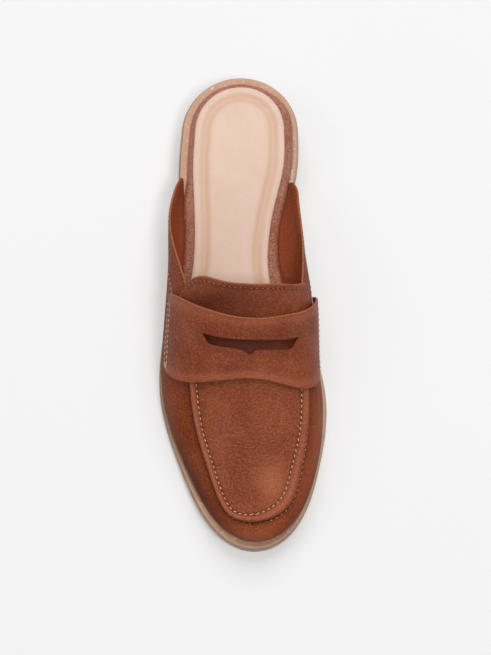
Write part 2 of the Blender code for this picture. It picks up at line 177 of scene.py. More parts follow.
# The apron's edge on each side, as a share of the way from welt to crest
SEAM = columns("along lateral medial", [
    (0.475, 0.560, 0.520),
    (0.484, 0.535, 0.470),
    (0.494, 0.508, 0.434),
    (0.505, 0.480, 0.410),
    (0.560, 0.510, 0.430),
    (0.660, 0.570, 0.480),
    (0.760, 0.550, 0.490),
    (0.850, 0.530, 0.508),
    (0.900, 0.494, 0.508),
    (0.925, 0.490, 0.550),
    (0.950, 0.544, 0.600),
    (0.975, 0.610, 0.638),
    (1.000, 0.652, 0.652),
])

# How far the tongue's rear edge stands in front of the throat's corners
TONGUE = columns("across forward", [
    (0.00, 0.000),
    (0.12, -0.012),
    (0.30, 0.000),
    (0.50, 0.008),
    (0.75, 0.006),
    (0.90, 0.005),
    (1.00, 0.000),
])

# The saddle strap's edges, and how far it stands off the upper in shares of STRAP_LIFT
STRAP = columns("across rear front lift", [
    (0.00, 0.483, 0.624, 0.00),
    (0.08, 0.490, 0.645, 0.80),
    (0.18, 0.507, 0.660, 1.15),
    (0.28, 0.523, 0.663, 1.30),
    (0.40, 0.538, 0.660, 1.20),
    (0.50, 0.541, 0.659, 1.05),
    (0.62, 0.535, 0.668, 1.00),
    (0.75, 0.525, 0.675, 1.00),
    (0.85, 0.510, 0.668, 0.90),
    (0.92, 0.498, 0.656, 0.55),
    (1.00, 0.488, 0.640, 0.00),
])

# How far up each side wall the strap's ends stop, at its rear and front edges
STRAP_ENDS = columns("down lateral medial", [
    (0.00, 0.39, 0.24),
    (1.00, 0.30, 0.24),
])

# The slot in the strap, in shares across it and from its rear edge to its front
SLOT = columns("across down", [
    (0.259, 0.333),
    (0.348, 0.355),
    (0.472, 0.365),
    (0.616, 0.356),
    (0.717, 0.323),
    (0.705, 0.375),
    (0.676, 0.470),
    (0.584, 0.509),
    (0.499, 0.529),
    (0.487, 0.555),
    (0.476, 0.590),
    (0.468, 0.609),
    (0.459, 0.587),
    (0.448, 0.553),
    (0.439, 0.537),
    (0.377, 0.494),
    (0.294, 0.465),
    (0.270, 0.390),
])
SLOT_SHARP = {0, 4}

# Soft troughs (depth below 0) and swells of the worn leather: place along and across
# the shoe, turn from square across in degrees, length, width and depth in mm
CREASES = columns("along side turn length width depth", [
    (0.735, -0.30, 10, 11, 1.6, -0.22),
    (0.765, -0.29, 14, 9, 1.3, -0.18),
    (0.800, -0.27, 16, 8, 1.4, -0.25),
    (0.822, -0.26, 20, 9, 1.2, -0.22),
    (0.790, 0.02, -4, 16, 2.2, -0.16),
    (0.815, 0.10, 8, 14, 1.8, -0.14),
    (0.770, 0.14, 12, 12, 2.0, -0.12),
    (0.840, 0.06, 5, 15, 2.0, -0.13),
    (0.715, 0.40, -12, 9, 1.6, -0.18),
    (0.745, 0.42, -18, 8, 1.5, -0.16),
    (0.500, 0.02, 12, 14, 5.0, -0.30),
    (0.520, 0.20, -14, 12, 4.0, -0.22),
])


def smooth(table, name, x):
    """Natural cubic curve through a table's named column."""
    xs = next(iter(table.values()))
    ys = table[name]
    steps = np.diff(xs)
    slopes = np.diff(ys) / steps
    system = np.eye(len(xs))
    right = np.zeros(len(xs))
    for i in range(1, len(xs) - 1):
        system[i, i - 1:i + 2] = steps[i - 1], 2 * (steps[i - 1] + steps[i]), steps[i]
        right[i] = 6 * (slopes[i] - slopes[i - 1])
    bend = np.linalg.solve(system, right)
    x = np.clip(x, xs[0], xs[-1])
    i = np.clip(np.searchsorted(xs, x) - 1, 0, len(xs) - 2)
    a = xs[i + 1] - x
    b = x - xs[i]
    h = steps[i]
    cubic = (bend[i] * a ** 3 + bend[i + 1] * b ** 3) / (6 * h)
    return cubic + (ys[i] / h - bend[i] * h / 6) * a + (ys[i + 1] / h - bend[i + 1] * h / 6) * b


def ease(t):
    """0 to 1 with level ends."""
    t = np.clip(t, 0, 1)
    return t * t * (3 - 2 * t)


def hump(x, width):
    """Bell curve, 1 at 0."""
    return np.exp(-(x / width) ** 2)


def y_at(along):
    return HEEL_LENGTH / 2 - np.asarray(along, float) * SOLE_LENGTH


def along_at(y):
    return (HEEL_LENGTH / 2 - np.asarray(y, float)) / SOLE_LENGTH


def underside(along):
    """Height of the outsole's underside: heel seat, arch, flat ball and toe spring."""
    arch = ease((BALL_FLAT_START - along) / (BALL_FLAT_START - SEAT_END))
    toe = np.clip((along - BALL_FLAT_END) / (1 - BALL_FLAT_END), 0, None)
    return HEEL_HEIGHT * arch + TOE_SPRING * toe ** 2


def sole_edge(side, along, inset=0.0):
    """Plan point on the sole's outline, moved in square to it, and the way out."""

    def outline(s):
        back = np.clip(1 - s / HEEL_ROUND, 0, 1)
        front = np.clip((s - TOE_FROM) / (1 - TOE_FROM), 0, 1)
        rounding = np.sqrt((1 - back ** 2) * (1 - front ** 2))
        x = smooth(SOLE, "centre", s) + side * smooth(SOLE, "half", s) * rounding
        return np.stack([x * BALL_WIDTH, y_at(s)], -1)

    along = np.clip(np.asarray(along, float), 0, 1)
    step = 1e-7
    tangent = outline(np.clip(along + step, 0, 1)) - outline(np.clip(along - step, 0, 1))
    outward = np.stack([-tangent[..., 1], tangent[..., 0]], -1) * side
    outward /= np.linalg.norm(outward, axis=-1, keepdims=True)
    outward[along <= 0] = (0, 1)
    outward[along >= 1] = (0, -1)
    return outline(along) - outward * np.asarray(inset)[..., None], outward


def sole_stations(end=1.0, middle=60, ends=30):
    """Stations from heel to toe, closer where the outline turns."""
    quarter = np.linspace(0, pi / 2, ends)
    heel = HEEL_ROUND * (1 - np.cos(quarter))
    run = np.linspace(HEEL_ROUND, TOE_FROM, middle)[1:-1]
    toe = TOE_FROM + (1 - TOE_FROM) * np.sin(quarter)
    stations = np.concatenate([heel, run, toe])
    if end < 1:
        stations = np.append(stations[stations < end - 0.004], end)
    return stations


def feather_inset(along):
    """From the sole's edge to the outside of the upper where it meets the welt."""
    return smooth(WALLS, "inset", along) * BALL_WIDTH


def feather_height(along):
    return underside(along) + OUTSOLE_THICKNESS + WELT_THICKNESS + 3 * GAP


def toe_fan(station):
    """Share of the sole at the welt and on the crest for one rib of the upper."""
    q = np.clip((station - TOE_FROM) / (1 - TOE_FROM), 0, 1)
    first = 2 / pi
    angle = pi / 2 * (first * q + (1 - first) * q ** 2)
    welt = np.where(q > 0, TOE_FROM + (1 - TOE_FROM) * np.sin(angle), station)
    crest = station - (1 - SPINE_POLE) * q ** 2
    return welt, crest


def crest_point(along):
    z = feather_height(along) + smooth(CREST, "height", along) * INSTEP_HEIGHT
    return np.stack([smooth(CREST, "side", along) * BALL_WIDTH, y_at(along), z], -1)


def upper_point(side, station, up):
    """Outside of the upper on one side: up runs from 0 at the welt to 1 at the crest."""
    station = np.asarray(station, float)
    up = np.asarray(up, float)[..., None]
    welt, crest = toe_fan(station)
    name = SIDE_NAMES[side]
    plan, outward = sole_edge(side, welt, feather_inset(welt))
    foot = np.concatenate([plan, feather_height(welt)[..., None]], -1)
    top = crest_point(crest)
    step = 0.002
    slope = (crest_point(crest + step)[..., 2] - crest_point(crest - step)[..., 2]) / (2 * step * SOLE_LENGTH)
    rise = smooth(WALLS, "rise_" + name, station) * INSTEP_HEIGHT
    flare = smooth(WALLS, "flare_" + name, station)[..., None] * BALL_WIDTH
    leave = foot.copy()
    leave[..., :2] += outward * flare
    leave[..., 2] += rise
    reach = smooth(WALLS, "reach_" + name, station)[..., None] * (foot - top)
    arrive = top + reach
    arrive[..., 2] = top[..., 2] - reach[..., 1] * slope
    down = 1 - up
    return down ** 3 * foot + 3 * down ** 2 * up * leave + 3 * down * up ** 2 * arrive + up ** 3 * top


def upper_across(station, across):
    """Outside of the upper: across runs from -1 at the lateral welt, over the crest at 0, to 1."""
    lateral = upper_point(LATERAL, station, 1 + np.minimum(across, 0))
    medial = upper_point(MEDIAL, station, 1 - np.maximum(across, 0))
    return np.where((np.asarray(across) < 0)[..., None], lateral, medial)


def upper_facing(station, across):
    """Way out of the upper's surface at places away from the toe's pole."""
    step = 0.0005
    forward = upper_across(station + step, across) - upper_across(station - step, across)
    sideways = upper_across(station, across + step) - upper_across(station, across - step)
    way = np.cross(sideways, -forward)
    return way / np.linalg.norm(way, axis=-1, keepdims=True)


def seam_across(side, station):
    return side * (1 - smooth(SEAM, SIDE_NAMES[side], station))


def between_seams(station, share):
    """Place across the shoe at a share of the way from the lateral seam to the medial one."""
    lateral = seam_across(LATERAL, station)
    medial = seam_across(MEDIAL, station)
    return lateral + (medial - lateral) * share


def on_upper(station, across, height=0.0):
    """Points at a height above the upper, and the way out there."""
    facing = upper_facing(station, across)
    return upper_across(station, across) + facing * np.asarray(height)[..., None], facing


def strap_place(across, down):
    """Where on the upper a point of the strap lies, as (station, across)."""
    rear = smooth(STRAP, "rear", across)
    front = smooth(STRAP, "front", across)
    lateral_end = -1 + smooth(STRAP_ENDS, "lateral", down)
    medial_end = 1 - smooth(STRAP_ENDS, "medial", down)
    return rear + (front - rear) * down, lateral_end + (medial_end - lateral_end) * across


# Mesh making

def fold(rows, count):
    """Vertex number of each grid place. At the toe the two halves of the last row are one."""
    number = np.arange(rows * count).reshape(rows, count)
    number[-1, (count + 1) // 2:] = number[-1, :count // 2][::-1]
    return number


def grid_faces(number, exists):
    """Quads over a grid where all four corners exist, with doubled corners dropped."""
    faces = []
    for i in range(number.shape[0] - 1):
        for j in range(number.shape[1] - 1):
            if exists[i:i + 2, j:j + 2].all():
                ring = [number[i, j], number[i, j + 1], number[i + 1, j + 1], number[i + 1, j]]
                ring = [int(v) for k, v in enumerate(ring) if v != ring[k - 1]]
                if len(set(ring)) > 2:
                    faces.append(ring)
    return faces


def surface_normals(points, faces):
    """Normal of an open surface at each of its points."""
    found = np.zeros_like(points)
    for size, first, second in ((3, (0, 1), (0, 2)), (4, (0, 2), (1, 3))):
        rings = np.array([f for f in faces if len(f) == size], int).reshape(-1, size)
        a = points[rings[:, first[1]]] - points[rings[:, first[0]]]
        b = points[rings[:, second[1]]] - points[rings[:, second[0]]]
        way = np.cross(a, b)
        for k in range(size):
            np.add.at(found, rings[:, k], way)
    length = np.linalg.norm(found, axis=1, keepdims=True)
    return found / np.maximum(length, 1e-12)


def grid_facing(points, number, faces):
    """Way out at each place of a grid that faces up in its middle."""
    rows, count = number.shape
    facing = surface_normals(points.reshape(-1, 3), faces)
    if facing[number[rows // 2, count // 2]][2] < 0:
        facing = -facing
    return facing[number].reshape(rows, count, 3)


def make_piece(name, points, faces, materials, face_materials=None, fields=None, sharp=0.9):
    """Mesh object with smooth faces, riding on the shoe, and named values at its points."""
    used = sorted({v for face in faces for v in face})
    renumber = {v: k for k, v in enumerate(used)}
    mesh = bpy.data.meshes.new(name)
    mesh.from_pydata([tuple(points[v]) for v in used], [], [[renumber[v] for v in f] for f in faces])
    for material in materials:
        mesh.materials.append(material)
    if face_materials is not None:
        mesh.polygons.foreach_set("material_index", np.array(face_materials, np.int32))
    for field, values in (fields or {}).items():
        attribute = mesh.attributes.new(field, 'FLOAT', 'POINT')
        attribute.data.foreach_set("value", np.asarray(values, np.float32)[used])
    mesh.update()
    mesh.shade_smooth()
    mesh.set_sharp_from_angle(angle=sharp)
    obj = bpy.data.objects.new(name, mesh)
    bpy.context.scene.collection.objects.link(obj)
    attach(obj, "root")
    return obj


def make_shell(name, outer, inner, faces, materials, fields):
    """Closed piece between two layers of points that share their faces."""
    way = surface_normals(outer, faces)
    count = len(outer)
    if (way * (outer - inner)).sum() < 0:
        faces = [face[::-1] for face in faces]
    directed = {(a, b) for face in faces for a, b in zip(face, face[1:] + face[:1])}
    rim = [[b, a, count + a, count + b] for a, b in directed if (b, a) not in directed]
    rim.sort()
    every = faces + [[count + v for v in reversed(face)] for face in faces] + rim
    kinds = [0] * len(faces) + [min(1, len(materials) - 1)] * len(faces) + [0] * len(rim)
    doubled = {field: np.concatenate([np.ravel(a), np.ravel(b)]) for field, (a, b) in fields.items()}
    return make_piece(name, np.concatenate([outer, inner]), every, materials, kinds, doubled)


def round_off(distance, radius):
    """How far a surface drops near its edge, for a rounded edge."""
    short = np.clip(radius - distance, 0, radius)
    return radius - np.sqrt(radius ** 2 - short ** 2)


def creases(points):
    """Height of the listed creases at points of the upper."""
    height = np.zeros(points.shape[:-1])
    for k in range(len(CREASES["along"])):
        x = points[..., 0] - CREASES["side"][k] * BALL_WIDTH
        y = points[..., 1] - y_at(CREASES["along"][k])
        turn = radians(CREASES["turn"][k])
        lengthways = x * cos(turn) + y * sin(turn)
        crossways = y * cos(turn) - x * sin(turn)
        mark = hump(lengthways, CREASES["length"][k] / 1000) * hump(crossways, CREASES["width"][k] / 1000)
        height += mark * CREASES["depth"][k] / 1000
    return height


def tongue_wave(share):
    wave = smooth(TONGUE, "forward", share)
    wave[..., 0] = wave[..., -1] = 0
    return wave


def bend_to_tongue(place, share, overhang):
    """Moves places behind the throat to the tongue's rear edge, less and less further forward."""
    fade = np.clip(1 - (place - THROAT) / TONGUE_BLEND, 0, 1)
    inside = (share > 0) & (share < 1)
    return place + fade * (tongue_wave(share) + np.where(inside, overhang / SOLE_LENGTH, 0))


def apron_length(station):
    """Way over the upper from seam to seam."""
    steps = np.linspace(0, 1, 33)
    spots = np.repeat(station[..., None], len(steps), -1)
    line = upper_across(spots, between_seams(spots, steps))
    return np.linalg.norm(np.diff(line, axis=-2), axis=-1).sum(-1)


def bead_strength(station):
    """The rolled seam: full in front of the strap, low under it, none on the tongue."""
    return 0.4 * ease((station - 0.52) / 0.04) + 0.6 * ease((station - 0.62) / 0.04)


def bead_scale(side, station):
    """How wide the rolled seam is: wider along the medial side, narrower along the lateral."""
    from_toe = ease((1 - station) / 0.12)
    return np.where(np.asarray(side) > 0, 1 + 0.40 * from_toe, 1 - 0.08 * from_toe)


def apron_height(station, from_seam, side):
    """Top of the apron above the upper."""
    strength = bead_strength(station)
    scale = bead_scale(side, station)
    bead = BEAD_HEIGHT / scale * strength * np.clip(1 - (2 * from_seam / (BEAD_WIDTH * scale) - 1) ** 2, 0, 1)
    groove = PLUG_GROOVE * strength * hump(from_seam - PLUG_STITCH * scale, 0.0005)
    return GAP + APRON_WALL + bead - groove


def skived(from_edge):
    """Thickness of the upper's wall, thinned towards its cut edge."""
    return UPPER_WALL * (0.55 + 0.45 * ease(from_edge / 0.004))


def upper_grid():
    """The upper's grid: stations, places across, the turn in under its foot, which places exist,
    the vamp's first row, and how many columns each side wall has."""
    tuck = np.array([1.0, 0.66, 0.33])
    near_edge = 1 - np.array([0.032, 0.019, 0.011, 0.0055, 0.002, 0.0])
    step = np.concatenate([np.zeros(3), np.linspace(0, 0.95, 34), near_edge])
    share = np.linspace(0, 1, 64)[:-1] ** 1.15
    vamp = np.concatenate([np.linspace(THROAT, TOE_FROM, 84), np.linspace(TOE_FROM, 1, 64)[1:]])
    walls = []
    for side in (LATERAL, MEDIAL):
        name = SIDE_NAMES[side]
        wing = WING_TIPS[side] + (THROAT - WING_TIPS[side]) * share
        collar = smooth(COLLAR, name, share) * smooth(SEAM, name, THROAT)
        up = np.concatenate([collar, smooth(SEAM, name, vamp)])
        station = np.repeat(np.concatenate([wing, vamp])[:, None], len(step), 1)
        walls.append((station, side * (1 - up[:, None] * (step if side < 0 else step[::-1]))))
    inner_share = np.linspace(0, 1, 30)[1:-1]
    under_apron = bend_to_tongue(np.repeat(vamp[:, None], len(inner_share), 1),
                                 np.repeat(inner_share[None], len(vamp), 0), TONGUE_OVERHANG)
    blank = np.zeros((len(share), len(inner_share)))
    middle = (np.concatenate([blank, under_apron]),
              np.concatenate([blank, between_seams(vamp[:, None], inner_share)]))
    station, across = [np.concatenate([walls[0][k], middle[k], walls[1][k]], 1) for k in (0, 1)]
    exists = np.ones(station.shape, bool)
    exists[:len(share), len(step):-len(step)] = False
    under = np.zeros(station.shape)
    under[:, :3] = tuck
    under[:, -3:] = tuck[::-1]
    return station, across, under, exists, len(share), len(step)


def way_from_cut(base, back, wall):
    """Way along each rib from the upper's cut edge at collar and throat, far off elsewhere."""
    gaps = np.linalg.norm(np.diff(base, axis=1), axis=2)[:back + 1]
    count = base.shape[1]
    found = np.full(base.shape[:2], 1.0)
    found[:back + 1, :wall - 1] = np.cumsum(gaps[:, :wall - 1][:, ::-1], 1)[:, ::-1]
    found[:back + 1, count - wall + 1:] = np.cumsum(gaps[:, count - wall:], 1)
    found[:back + 1, wall - 1] = 0
    found[:back + 1, count - wall] = 0
    found[back, wall:count - wall] = 0
    return found


def turn_in(outer, base, station, across, under):
    """Rounds the upper's foot in under itself, above the welt."""
    welt, _ = toe_fan(station)
    for side in (LATERAL, MEDIAL):
        _, outward = sole_edge(side, welt, feather_inset(welt))
        mine = (under > 0) & (np.sign(across) == side)
        angle = under[mine] * pi / 2
        outer[mine, :2] = base[mine, :2] - outward[mine] * (0.0010 * (1 - np.cos(angle)))[:, None]
        outer[mine, 2] = base[mine, 2] - 0.00052 * np.sin(angle)


def make_upper(leather, lining):
    """Vamp and wings as one shell, turned in under its foot, open at the throat."""
    station, across, under, exists, back, wall_columns = upper_grid()
    base = upper_across(station, across)
    low = base.copy()
    low[..., 2] -= 0.0004 * under
    number = fold(*station.shape)
    faces = grid_faces(number, exists)
    facing = grid_facing(low, number, faces)

    from_edge = way_from_cut(base, back, wall_columns)
    foot = np.where((across < 0)[..., None], base[:, 3:4], base[:, -4:-3])
    height = np.linalg.norm(base - foot, axis=2)
    seam = np.where(across < 0, smooth(SEAM, "lateral", station), smooth(SEAM, "medial", station))
    outside_seam = np.where(station > 0.60, np.abs(1 - np.abs(across) - seam) * 0.045, 1.0)

    relief = creases(base) - 0.0004 * hump(outside_seam, 0.0009) * ease((station - 0.6) / 0.06)
    swell = 0.0005 * hump(height - 0.006, 0.004) * ease((station - 0.5) / 0.1)
    outer = base + facing * (relief + swell - round_off(from_edge, CUT_ROUND))[..., None]
    turn_in(outer, base, station, across, under)
    wall = skived(from_edge) - round_off(from_edge, CUT_ROUND_INSIDE)
    inner = low - facing * wall[..., None]

    edge = hump(from_edge, RAW_WIDTH)
    # Painted shade: a dark line where the upper meets the welt, darker lower walls (most on the lateral
    # side), and dark lines along the seam's outer foot and the collar's stitch row; the darkening towards the
    # welt is partly burnish.
    burnish_and_shade = 2.0 * hump(height, 0.0014) + 0.55 * hump(height, 0.008) + 0.6 * hump(outside_seam, 0.0026)
    low_wall = hump(height, 0.013) * hump(station - 0.86, 0.10)
    burnish_and_shade += low_wall * np.where(across < 0, 1.0, 0.45) + 0.4 * hump(from_edge - 0.0019, 0.0008)
    # Painted highlight: a lighter patch low on the toe's front, and one on the vamp's medial side.
    toe_sheen = 0.5 * hump(station - 1.0, 0.06) * hump(height - 0.008, 0.005)
    toe_sheen += 0.3 * hump(station - 0.80, 0.09) * hump(height - 0.014, 0.006) * (across > 0)
    fields = {
        "edge": (edge, edge),
        # The lining gets painted shade towards its foot.
        "burnish_and_shade": (burnish_and_shade, 0.2 + 0.6 * hump(height, 0.010)),
        "painted_highlight": (toe_sheen, np.zeros(height.shape)),
    }
    shell = make_shell("vamp_and_quarters", outer.reshape(-1, 3), inner.reshape(-1, 3), faces,
                       [leather, lining], fields)
    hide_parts("upper")
    return shell


def apron_grid():
    """The apron's grid: stations, places across, share of the way across, way in from the seam,
    side, and way in front of the tongue's edge. It is closest over the rolled seam."""
    near = np.array([0.0, 0.0006, 0.0014, 0.0026, 0.0042]) * 1.2
    vamp = np.concatenate([THROAT + near, np.linspace(THROAT + 0.0075, TOE_FROM, 90),
                           np.linspace(TOE_FROM, 1, 90)[1:]])
    bead = np.array([0, 0.05, 0.13, 0.26, 0.42, 0.62, 0.85, 1.15, 1.5, 1.9, 2.3, 2.7, 3.1, 3.5, 3.9,
                     4.2, 4.45, 4.7, 4.95, 5.25, 5.7]) / 1000
    length = apron_length(vamp)[:, None]
    middle = np.linspace(0, 1, 64)[1:-1]
    lateral_band = bead[None] * bead_scale(LATERAL, vamp)[:, None] / length
    medial_band = bead[None] * bead_scale(MEDIAL, vamp)[:, None] / length
    first = lateral_band[:, -1:]
    inner_band = first + (1 - medial_band[:, -1:] - first) * middle
    share = np.concatenate([lateral_band, inner_band, 1 - medial_band[:, ::-1]], 1)
    from_seam = np.minimum(share, 1 - share) * length
    side = np.where(share < 0.5, LATERAL, MEDIAL)
    across = between_seams(vamp[:, None], share)
    station = bend_to_tongue(np.repeat(vamp[:, None], share.shape[1], 1), share, 0.0)
    behind = np.repeat((vamp - THROAT)[:, None] * SOLE_LENGTH, share.shape[1], 1)
    return station, across, share, from_seam, side, behind


def make_apron(leather, lining):
    """Plug and tongue in one piece, with the rolled moc seam at its edge."""
    station, across, share, from_seam, side, behind = apron_grid()
    base = upper_across(station, across)
    number = fold(*station.shape)
    faces = grid_faces(number, np.ones(station.shape, bool))
    facing = grid_facing(base, number, faces)

    strength = bead_strength(station)
    top = apron_height(station, from_seam, side)
    roll = np.clip(from_seam / (0.0004 + 0.0006 * strength), 0, 1)
    rounded = np.sqrt(1 - (1 - roll) ** 2)
    top = GAP + (top - GAP) * (0.25 + 0.75 * rounded)
    top -= round_off(behind, 0.0005) * 0.9
    top += creases(base) * ease(from_seam / 0.006)
    outer = base + facing * top[..., None]
    inner = base + facing * GAP * 0.5

    edge = hump(np.minimum(behind, from_seam + 0.02 * strength), RAW_WIDTH)
    scale = bead_scale(side, station)
    # Painted highlight along the rolled seam's crest.
    crest = strength * hump(from_seam / scale - 0.0026, 0.0012)
    # Painted shade in the plug's stitch groove and at the seam's foot.
    groove = strength * (hump(from_seam - PLUG_STITCH * scale, 0.0007) * 0.8 + hump(from_seam, 0.0005))
    # Painted shade on the tongue, behind the strap's rear edge and on its lateral half, with some burnish.
    tongue = 0.95 * hump(station - 0.515, 0.028) * hump(share - 0.30, 0.26)
    # Painted shade under the strap's slot, darkest towards the lateral side.
    slot_shade = 2.0 * hump(station - 0.585, 0.035) * (1.2 - 0.7 * ease((share - 0.3) / 0.5))
    # Also a painted shade line along the tongue's stitch row.
    burnish_and_shade = groove + tongue + slot_shade + 0.5 * hump(behind - 0.0024, 0.0007)
    # Painted highlight on the plug: at the toe's medial side and along its lateral side.
    sheen = 0.75 * hump(station - 0.875, 0.050) * hump(share - 0.70, 0.20)
    sheen *= ease(from_seam / scale / 0.008)
    sheen += 0.30 * hump(station - 0.80, 0.06) * hump(share - 0.17, 0.12)
    fields = {
        "edge": (edge, edge),
        "burnish_and_shade": (burnish_and_shade, np.full(burnish_and_shade.shape, 0.3)),
        "painted_highlight": (0.55 * crest + sheen, np.zeros(burnish_and_shade.shape)),
    }
    shell = make_shell("apron_and_tongue", outer.reshape(-1, 3), inner.reshape(-1, 3), faces,
                       [leather, lining], fields)
    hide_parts("apron")
    return shell


def slot_outline(steps=7):
    """The slot's outline: round between its sharp corners."""
    points = np.stack([SLOT["across"], SLOT["down"]], -1)
    count = len(points)
    found = []
    for i in range(count):
        a = points[i]
        b = points[(i + 1) % count]
        sharp_way = (b - a) * 0.8
        leave = sharp_way if i in SLOT_SHARP else (b - points[i - 1]) / 2
        arrive = sharp_way if (i + 1) % count in SLOT_SHARP else (points[(i + 2) % count] - a) / 2
        for t in np.linspace(0, 1, steps + 1)[:-1]:
            found.append((2 * t ** 3 - 3 * t ** 2 + 1) * a + (t ** 3 - 2 * t ** 2 + t) * leave
                         + (3 * t ** 2 - 2 * t ** 3) * b + (t ** 3 - t ** 2) * arrive)
    return np.array(found)


def push_out(ring, distance):
    """A closed outline moved out by a distance."""
    tangent = np.roll(ring, -1, 0) - np.roll(ring, 1, 0)
    tangent /= np.linalg.norm(tangent, axis=1, keepdims=True)
    area = (ring[:, 0] * np.roll(ring[:, 1], -1) - ring[:, 1] * np.roll(ring[:, 0], -1)).sum()
    outward = np.stack([tangent[:, 1], -tangent[:, 0]], 1) * np.sign(area)
    return ring + outward * distance


def inside_ring(points, ring):
    """Which points lie inside a closed outline."""
    found = np.zeros(len(points), bool)
    for a, b in zip(ring, np.roll(ring, -1, 0)):
        crosses = (a[1] > points[:, 1]) != (b[1] > points[:, 1])
        at = a[0] + (points[:, 1] - a[1]) / (b[1] - a[1] + 1e-12) * (b[0] - a[0])
        found ^= crosses & (points[:, 0] < at)
    return found


def ring_distance(points, ring):
    """Distance from points to a closed outline."""
    best = np.full(len(points), 1e9)
    for a, b in zip(ring, np.roll(ring, -1, 0)):
        way = b - a
        t = np.clip(((points - a) @ way) / max(way @ way, 1e-18), 0, 1)
        best = np.minimum(best, np.linalg.norm(points - a - t[:, None] * way, axis=1))
    return best


def strap_size():
    """Length of the strap over the shoe and its width at the middle."""
    share = np.linspace(0, 1, 60)
    line = upper_across(*strap_place(share, np.full(60, 0.5)))
    width = (smooth(STRAP, "front", 0.5) - smooth(STRAP, "rear", 0.5)) * SOLE_LENGTH
    return np.linalg.norm(np.diff(line, axis=0), axis=1).sum(), float(width)


def strap_lift(share):
    return SEATED_GAP + STRAP_LIFT * np.clip(smooth(STRAP, "lift", share), 0, None)


def strap_sheet(length, width):
    """The strap laid flat, with its slot cut out: points, faces and the slot's outline."""
    size = np.array([length, width])
    near = np.array([0, 0.12, 0.28, 0.5, 0.8, 1.2]) / 1000
    ends = near / length
    sides = near / width
    shares = np.concatenate([ends, np.linspace(ends[-1], 1 - ends[-1], 112)[1:-1], 1 - ends[::-1]])
    downs = np.concatenate([sides, np.linspace(sides[-1], 1 - sides[-1], 44)[1:-1], 1 - sides[::-1]])
    across, down = np.meshgrid(shares, downs, indexing='ij')
    ring = slot_outline() * size
    rings = [ring, push_out(ring, 0.00014), push_out(ring, 0.00034), push_out(ring, 0.0006)]
    flat = np.stack([across.ravel(), down.ravel()], -1) * size
    keep = ~inside_ring(flat, push_out(ring, 0.0008)) & (ring_distance(flat, ring) > 0.0008)
    flat = flat[keep]
    per = len(ring)
    starts = [len(flat) + k * per for k in range(len(rings))]
    lines = [(start + k, start + (k + 1) % per) for start in starts for k in range(per)]
    flat = np.concatenate([flat] + rings)
    made = delaunay_2d_cdt([tuple(p) for p in flat], lines, [], 0, 1e-7)
    flat = np.array(made[0])
    faces = [list(f) for f in made[2]]
    holes = inside_ring(np.array([flat[f].mean(0) for f in faces]), ring)
    return flat, [f for f, hole in zip(faces, holes) if not hole], ring


def make_strap(leather, back):
    """Saddle strap with its slot, bridging the plug."""
    length, width = strap_size()
    flat, faces, ring = strap_sheet(length, width)
    share, down = (flat / np.array([length, width])).T
    station, across = strap_place(share, down)
    from_slot = ring_distance(flat, ring)
    from_side = np.minimum(down, 1 - down) * width
    from_end = np.minimum(share, 1 - share) * length
    from_edge = np.minimum(np.minimum(from_side, from_end), from_slot)
    lift = strap_lift(share) - 0.0006 * hump(share - 0.5, 0.3) * np.sin(pi * down)
    outer, _ = on_upper(station, across, lift + STRAP_WALL - round_off(from_edge, CUT_ROUND))
    inner, _ = on_upper(station, across, lift + round_off(from_edge, CUT_ROUND_INSIDE))
    # The raw edge is kept faint round the slot, where painted shade darkens its cut edge.
    edge = hump(from_edge, 0.00028) * np.where(from_slot < 0.0006, 0.25, 1.0)
    # Painted shade where the strap's ends curve down, round the slot and on its cut edge, and across its
    # middle near the front edge.
    burnish_and_shade = 0.35 * hump(from_end, 0.010) + 0.3 * hump(from_slot - 0.002, 0.002)
    burnish_and_shade += 0.35 * hump(share - 0.42, 0.16) * hump(down - 0.85, 0.12) + 0.9 * hump(from_slot, 0.0004)
    # Painted highlight in a band near the strap's front and rear edges.
    painted_highlight = 0.35 * hump(from_side - 0.002, 0.002)
    plain = np.zeros(len(flat))
    fields = {"edge": (edge, edge), "burnish_and_shade": (burnish_and_shade, plain + 0.4), "painted_highlight": (painted_highlight, plain)}
    shell = make_shell("saddle_strap_leather", outer, inner, faces, [leather, back], fields)
    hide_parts("saddle_strap")
    return shell


def slab_profile(low, high, radius):
    """Edge profile of a plain layer, from its underside to its top, as (inset, height)."""
    turns = np.linspace(0, pi / 2, 5)
    bottom = [(radius * (1 - sin(a)), low + radius * (1 - cos(a))) for a in turns]
    top = [(radius * (1 - cos(a)), high - radius * (1 - sin(a))) for a in turns]
    return bottom + top


